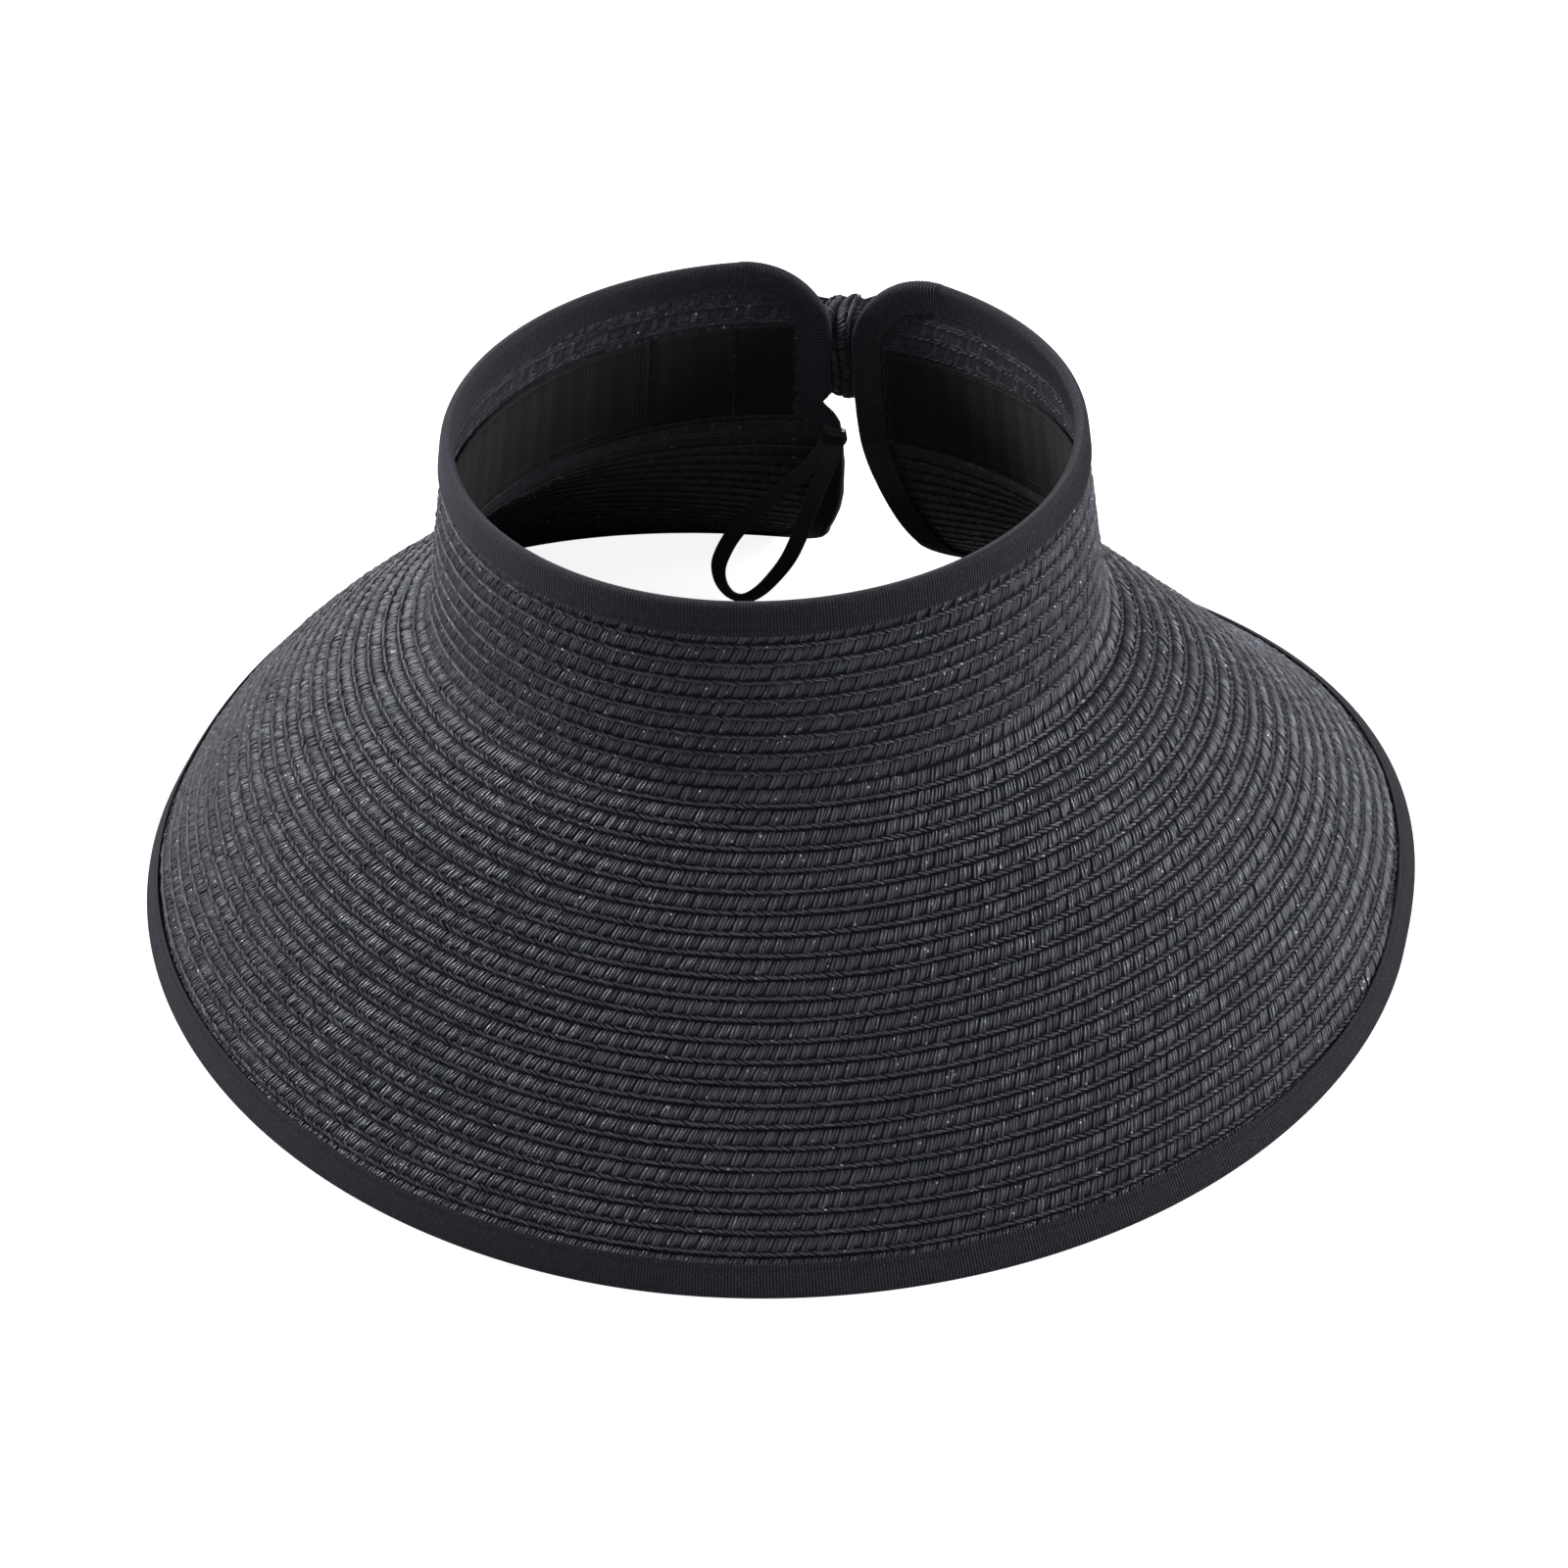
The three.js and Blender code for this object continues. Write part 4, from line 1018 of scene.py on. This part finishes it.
def patch(name, body, replaces, slot, material, start, end, half, inner, loops):
    """A patch with pile on its outer face (loops) or its inner face (hooks), and its stitches."""
    angle = np.linspace(start, end, 90)
    w = np.linspace(-half, half, 60)
    rng = np.random.default_rng(77 if loops else 78)
    along = (angle - angle[0]) * CLOSE_MM_PER_DEG
    side = 1 if loops else -1
    face = inner + PATCH_THICK if loops else inner      # the face with the pile
    relief = (0.05 * np.cos(2 * math.pi * along / 0.9)[:, None]
              * np.cos(2 * math.pi * w / 0.9)[None])
    rim = np.maximum(np.exp(-((half - np.abs(w)) / 0.5) ** 2)[None],
                     end_bump(along, 0.5)[:, None])
    build = Build()
    add_sheet(build, angle, CLOSE_L + w, inner, inner + PATCH_THICK, relief - 0.12 * rim)

    step, scatter = (1.12, 0.32) if loops else (1.35, 0.06)
    u, v = np.meshgrid(np.arange(1.3, along[-1] - 1.2, step),
                       np.arange(-half + 1.3, half - 1.2, step), indexing="ij")
    u = u + rng.uniform(-scatter, scatter, u.shape)
    v = v + rng.uniform(-scatter, scatter, v.shape)
    if not loops:                                # hooks stand in staggered rows
        v = v + np.where(np.arange(len(v)) % 2, step / 2, 0)[:, None]
    add_pile = add_loops if loops else add_hooks
    add_pile(build, rng, (angle[0] + u / CLOSE_MM_PER_DEG).ravel(), (CLOSE_L + v).ravel(),
             face - 0.05 * side)
    build.object(name, body, slot, material, replaces=replaces)

    build = Build()
    thread = dict(radius=0.14, lift=0.05 * side)
    height = face + 0.06 * side
    stops = np.arange(angle[0] + 1.0, angle[-1] - 0.6, 1.5)
    rows = CLOSE_L + np.arange(-half + 1.6, half - 1.0, 2.4)
    for edge, end_angle in ((-1, angle[0] + 0.45), (1, angle[-1] - 0.45)):
        add_stitches(build, stops, CLOSE_L + edge * (half - 0.7), height,
                     round_shell=True, size=1.7, **thread)
        add_stitches(build, end_angle, rows, height, round_shell=False, size=1.8, **thread)
    build.object(name + "_stitches", body, slot, THREAD)


closure_strap()
patch("closure_loop_pile", "shell", "closure_loop_patch", "loop_tape", LOOP,
      start=deg_right(38), end=deg_right(12.8), half=LOOP_HALF, inner=1.28, loops=True)
patch("closure_hook_pile", "bow_closure", "closure_hook_patch", "hook_tape", HOOK,
      start=deg_right(35), end=deg_right(13.4), half=STRAP_HALF - 1.2, inner=3.4, loops=False)

# ------------------------------------------------------------------ bow
_, BACK_Y, BACK_Z = (float(c) for c in on_shell(180.0, CLOSE_L) - SHIFT)
BOW_Z = BACK_Z + BOW_UP
# plan of a lobe from the knot out and back: (distance from the centre plane, distance out beyond
# LOBE_OUT, half height)
LOBE = [
    (2.5, 5.6, 11.6), (5.5, 4.8, 12.4), (9.0, 3.4, 13.6), (14, 1.5, 14.8), (21, 0.8, 15.4),
    (28.5, 1.1, 15.4), (35.5, 2.8, 15.0), (41.2, 5.8, 14.2), (44.6, 10.2, 13.4),
    (42.4, 14.4, 13.0), (37, 16.9, 12.8), (29.5, 17.3, 12.8), (21.5, 15.4, 12.8),
    (14, 12.2, 12.6), (9.0, 9.4, 12.2), (5.5, 8.2, 11.8), (2.5, 7.4, 11.2)]
LOBE_FREE = 8.5                                  # further out than this the lobe follows the shell


def lobe_curve():
    """The lobe's x, y and half height along its plan."""
    points = []
    for x, out, half in LOBE:
        y = BACK_Y + LOBE_OUT + out
        if x > LOBE_FREE:
            x, y, _ = on_shell(deg_right(x), CLOSE_L, LOBE_OUT + out) - SHIFT
        points.append((x, y, half))
    return catmull(np.array(points), 500)[0]


def bow_lobe(name, side):
    """One lobe, a loop of sewn rows; side is 1 for +X and -1 for -X."""
    curve = lobe_curve()
    arc = arc_length(curve[:, :2])
    total = arc[-1]
    slope_x, slope_y = np.gradient(curve[:, 0], arc), np.gradient(curve[:, 1], arc)
    slope = np.hypot(slope_x, slope_y)
    normal_x, normal_y = slope_y / slope, -slope_x / slope
    count = int(total / PLAIT)
    phase = 0.7 if side > 0 else 2.1

    def place(row, t, v, height):
        t, v, height = np.broadcast_arrays(t, v, height)
        s = np.clip(t * PLAIT + (total - count * PLAIT) / 2 + 0.9, 0, total)
        f = (row * PITCH + v) / (PITCH * LOBE_ROWS)      # 0 at the top edge, 1 at the bottom
        # gathers near the knot, a soft wave elsewhere
        from_end = np.minimum(s, total - s)
        near = np.exp(-(from_end / 13.0) ** 2)
        fold = near * (1.0 * np.sin(2 * math.pi * (2.6 * f) + phase + from_end * 0.05)
                       + 0.5 * np.sin(2 * math.pi * 4.3 * f + 1.3 * phase))
        fold = fold + 0.35 * np.sin(s * 0.16 + 3 * f + phase) * (1 - near)
        x, y, half, nx, ny = (np.interp(s, arc, line) for line in (*curve.T, normal_x, normal_y))
        move = (height * 0.92 + fold) / np.hypot(nx, ny)
        z = BOW_Z - 0.04 * x + half * (1 - 2 * f) - 0.5 * np.sin(math.pi * s / total)
        return np.stack([side * (x + nx * move), y + ny * move, z], -1) + SHIFT

    build = Build()
    units = np.arange(count - 1)
    for row in range(LOBE_ROWS):
        row_place = partial(place, row)
        seed = row + (10 if side > 0 else 0)
        add_braid(build, row_place, units, Weave(seed=300 + seed, side=side))
        add_braid(build, row_place, units,
                  Weave(seed=340 + seed, side=-side, slant=-0.8, tilt=0.1))
        add_core(build, row_place, np.linspace(-0.4, count - 1.4, 240))
    build.object(name + "_plait", "bow_closure", "bow_braid", STRAW, replaces=name)


KNOT_INNER, KNOT_OUTER, KNOT_HALF_Z = 2.75, 17.3, 14.2       # y faces out from the shell, half height
KNOT_POWER = 0.55                                            # squareness of its section


def knot_outline():
    """Even arc stations round the knot's section, its y and z from the middle, and its normals."""
    q = np.linspace(0, 2 * math.pi, 721)
    half_y = (KNOT_OUTER - KNOT_INNER) / 2
    y = half_y * np.sign(np.cos(q)) * np.abs(np.cos(q)) ** KNOT_POWER
    z = KNOT_HALF_Z * np.sign(np.sin(q)) * np.abs(np.sin(q)) ** KNOT_POWER
    arc = arc_length(np.stack([y, z], 1))
    steps = np.linspace(0, arc[-1], 721)

    def smooth(line):
        line = np.interp(steps, arc, line)
        return np.convolve(np.r_[line[-8:-1], line, line[1:8]], np.ones(15) / 15, "valid")

    y, z = smooth(y), smooth(z)
    slope_y, slope_z = np.gradient(y), np.gradient(z)
    slope = np.hypot(slope_y, slope_z)
    return steps, y, z, slope_z / slope, -slope_y / slope


def bow_knot():
    """The short band of braid wrapped round the strap and the middle of the bow."""
    steps, *outline = knot_outline()
    middle_y = BACK_Y + (KNOT_INNER + KNOT_OUTER) / 2
    total = steps[-1]
    count = int(round(total / PLAIT))

    def place(row, turned, t, v, height):
        t, v, height = np.broadcast_arrays(t, v, height)
        s = np.mod((count - t if turned else t) * (total / count), total)
        v = PITCH - v if turned else v
        f = (row * PITCH + v) / (PITCH * KNOT_ROWS) * 2 - 1      # -1..1 across the band
        turn = s / total * 2 * math.pi
        top = np.clip(np.sin(turn), 0, 1) ** 3
        back = np.clip(-np.cos(turn), 0, 1)      # towards the shell: held flat against the strap
        half = 6.1 + 0.9 * top + 0.3 * np.sin(3 * turn + 1)
        # creases pulled into the band
        fold = (0.45 * np.cos(f * 5.2 + 0.8 * np.sin(turn * 2))
                + 0.30 * np.sin(turn * 5 + f * 3) - 0.5 * f ** 2) * (1 - 0.75 * back)
        fold = fold + 0.9 * top * np.sin(f * 4.1 + 1.1) ** 2
        y, z, ny, nz = (np.interp(s, steps, line) for line in outline)
        move = height * (0.92 - 0.25 * back) + fold
        x = half * f + 0.5 * np.sin(turn * 2 + 0.5) - 1.0
        return np.stack([x, middle_y + y + ny * move, BOW_Z + z + nz * move], -1) + SHIFT

    build = Build()
    for row in range(KNOT_ROWS):
        turned = row == 0
        row_place = partial(place, row, turned)
        # painted shade: dim=0.62 paints the knot's strands darker than the lobes'
        add_braid(build, row_place, np.arange(count), Weave(
            seed=400 + row, slant=-0.9 if turned else 0.9, strand_height=0.80, dim=0.62))
        add_core(build, row_place, np.linspace(0, count, 300))
    build.object("bow_knot_plait", "bow_closure", "bow_braid", STRAW, replaces="bow_knot")


bow_lobe("bow_lobe_right", 1)
bow_lobe("bow_lobe_left", -1)
bow_knot()

# ------------------------------------------------------------------ elastic loop
# centre line from one sewn end round to the other: (x, z)
ELASTIC_LINE = np.array([
    (-3.6, 82.5), (-5.2, 77.4), (-7.9, 72.2), (-12.4, 65.9), (-18.2, 59.6), (-24.0, 53.4),
    (-29.8, 46.7), (-34.9, 39.2), (-38.3, 32.0), (-39.6, 26.8), (-38.9, 21.6), (-36.2, 17.9),
    (-32.0, 17.3), (-27.3, 20.8), (-22.4, 27.2), (-18.1, 34.4), (-14.7, 42.6), (-11.9, 51.4),
    (-8.8, 60.3), (-5.4, 69.0), (-3.0, 75.7), (-1.8, 82.0)])
ELASTIC_Y = (86.3, 84.3)                         # y at its two ends
ELASTIC_HALF, ELASTIC_HALF_THICK, ELASTIC_RIB = 2.42, 0.62, 0.98


def elastic_band():
    start_y, end_y = ELASTIC_Y
    y = start_y + (end_y - start_y) * smoothstep(np.linspace(0, 1, len(ELASTIC_LINE)))
    x, z = ELASTIC_LINE.T
    centre, arc = catmull(np.stack([x, y, z], 1), 430)
    tangent = unit(np.gradient(centre, axis=0))
    wide = unit(np.stack([-tangent[:, 2], 0 * arc, tangent[:, 0]], 1))
    out = unit(np.cross(tangent, wide))
    # the flat elastic twists a little as it turns at the bottom
    share = arc / arc[-1]
    twist = 0.5 * np.exp(-((share - 0.5) / 0.16) ** 2) - 0.22 * np.sin(share * math.pi * 2)
    cos, sin = np.cos(twist)[:, None], np.sin(twist)[:, None]
    wide, out = wide * cos + out * sin, out * cos - wide * sin

    w = np.linspace(-ELASTIC_HALF, ELASTIC_HALF, 15)
    thick = ELASTIC_HALF_THICK * (1 - (np.abs(w) / 2.55) ** 6) ** 0.5 + 0.02
    rib = 0.10 * np.cos(2 * math.pi * w / ELASTIC_RIB)
    chevron = 0.06 * np.cos(2 * math.pi * (arc[:, None] / 0.95 + np.abs(w) / ELASTIC_RIB))
    middle = centre[:, None] + outer(wide, w) + SHIFT
    rise = outer(out, thick + rib + chevron)
    build = Build()
    build.slab(middle + rise, middle - rise, flip=True)
    build.object("elastic_storage_loop_band", "storage_loop", "elastic_cord", ELASTIC,
                 replaces="elastic_storage_loop")


def elastic_bartack():
    """Seven turns of thread round both ends of the elastic."""
    build = Build()
    a = np.linspace(0, 2 * math.pi, 41)[:-1]
    ring = np.linspace(0, 2 * math.pi, 7)[:-1][None, :, None]
    upright = np.tile([0, 0, 1.0], (len(a), 1))
    x = -2.95 + 3.35 * np.sign(np.cos(a)) * np.abs(np.cos(a)) ** 0.5
    y = 85.3 + 1.92 * np.sign(np.sin(a)) * np.abs(np.sin(a)) ** 0.5
    for i in range(7):
        z = 79.2 + i * 0.42
        path = np.stack([x - 0.1 * (z - 80), y, z + 0.25 * np.sin(a + i)], 1)
        tangent = unit(np.roll(path, -1, 0) - np.roll(path, 1, 0))
        side = unit(np.cross(tangent, upright))
        section = np.cos(ring) * upright[:, None] + np.sin(ring) * side[:, None]
        build.grid(path[:, None] + 0.19 * section + SHIFT, wrap_u=True, wrap_v=True)
    build.object("elastic_storage_loop_bartack", "storage_loop", "elastic_cord", THREAD)


elastic_band()
elastic_bartack()


# ------------------------------------------------------------------ floor, light, camera (metres)
def make_floor():
    """A sheet that runs back and curves up behind the object."""
    bend, bend_y = 1.2, 1.6
    profile = [(-3.5, 0.0)]
    profile += [(bend_y + bend * math.sin(q), bend - bend * math.cos(q))
                for q in np.linspace(0, math.pi / 2, 16)]
    profile.append((bend_y + bend, 5.0))
    count = len(profile)
    verts = [(x, y, z) for x in (-4, 0, 4) for y, z in profile]
    faces = [(i * count + j, (i + 1) * count + j, (i + 1) * count + j + 1, i * count + j + 1)
             for i in range(2) for j in range(count - 1)]
    mesh = bpy.data.meshes.new("floor")
    mesh.from_pydata(verts, [], faces)
    mesh.shade_smooth()
    floor = bpy.data.objects.new("floor", mesh)
    bpy.context.scene.collection.objects.link(floor)
    floor.location = (0, 0, -0.0004)
    mesh.materials.append(floor_material())


def make_world():
    """A white surround that looks bright to the camera but lights the object only softly."""
    light_strength, seen_strength = 0.20, 0.97
    world = bpy.data.worlds.new("studio")
    bpy.context.scene.world = world
    world.use_nodes = True
    tree = world.node_tree
    background = tree.nodes["Background"]
    light_path = tree.nodes.new("ShaderNodeLightPath")
    mix = tree.nodes.new("ShaderNodeMix")
    mix.data_type = "FLOAT"
    mix.inputs[2].default_value = light_strength
    mix.inputs[3].default_value = seen_strength
    tree.links.new(light_path.outputs["Is Camera Ray"], mix.inputs[0])
    tree.links.new(mix.outputs[0], background.inputs[1])
    background.inputs[0].default_value = (1, 1, 1, 1)


# (name, place, target, size, power in watts)
LIGHTS = [
    ("back_right", (1.5, 1.25, 0.75), (0.05, 0, 0.06), (0.75, 0.7), 24),
    ("back_left", (-1.5, 1.1, 0.75), (-0.05, 0, 0.06), (0.75, 0.7), 17.0),
    ("side_left", (-1.9, 0.2, 0.85), (0, 0, 0.05), (0.6, 0.6), 40),
    ("side_right", (1.9, 0.25, 0.85), (0, 0, 0.05), (0.6, 0.6), 23.5),
    ("top_back", (0, 0.9, 2.1), (0, 0, 0.05), (1.6, 1.0), 7.5),
    ("front_fill", (0.2, -2.0, 1.05), (0, 0, 0.05), (1.4, 0.9), 11.0),
]


def area_light(name, place, target, size, power):
    light = bpy.data.lights.new(name, "AREA")
    light.shape = "RECTANGLE"
    light.size, light.size_y = size
    light.energy = power
    obj = bpy.data.objects.new(name, light)
    bpy.context.scene.collection.objects.link(obj)
    obj.location = place
    obj.rotation_mode = "QUATERNION"
    obj.rotation_quaternion = (Vector(target) - Vector(place)).to_track_quat("-Z", "Y")


# the camera's own axes and its place before SHIFT
CAMERA_RIGHT = (0.96851624, 0.24560217, -0.04069232)
CAMERA_UP = (-0.1315457, 0.64365524, 0.7539255)
CAMERA_BACK = (0.21135756, -0.7248362, 0.65569846)
CAMERA_PLACE = (0.28423848, -0.96901237, 0.900468)


def make_camera():
    data = bpy.data.cameras.new("camera")
    camera = bpy.data.objects.new("camera", data)
    bpy.context.scene.collection.objects.link(camera)
    data.sensor_width = 36
    data.lens = 110.930175
    data.clip_start, data.clip_end = 0.05, 30
    turn = Matrix((CAMERA_RIGHT, CAMERA_UP, CAMERA_BACK)).transposed()
    place = Vector(CAMERA_PLACE) + Vector(tuple(SHIFT * MM))
    camera.matrix_world = Matrix.Translation(place) @ turn.to_4x4()
    bpy.context.scene.camera = camera


bpy.context.view_layer.update()                  # settles the pieces
make_floor()
make_world()
for light in LIGHTS:
    area_light(*light)
make_camera()
bpy.context.scene.view_settings.view_transform = "Standard"
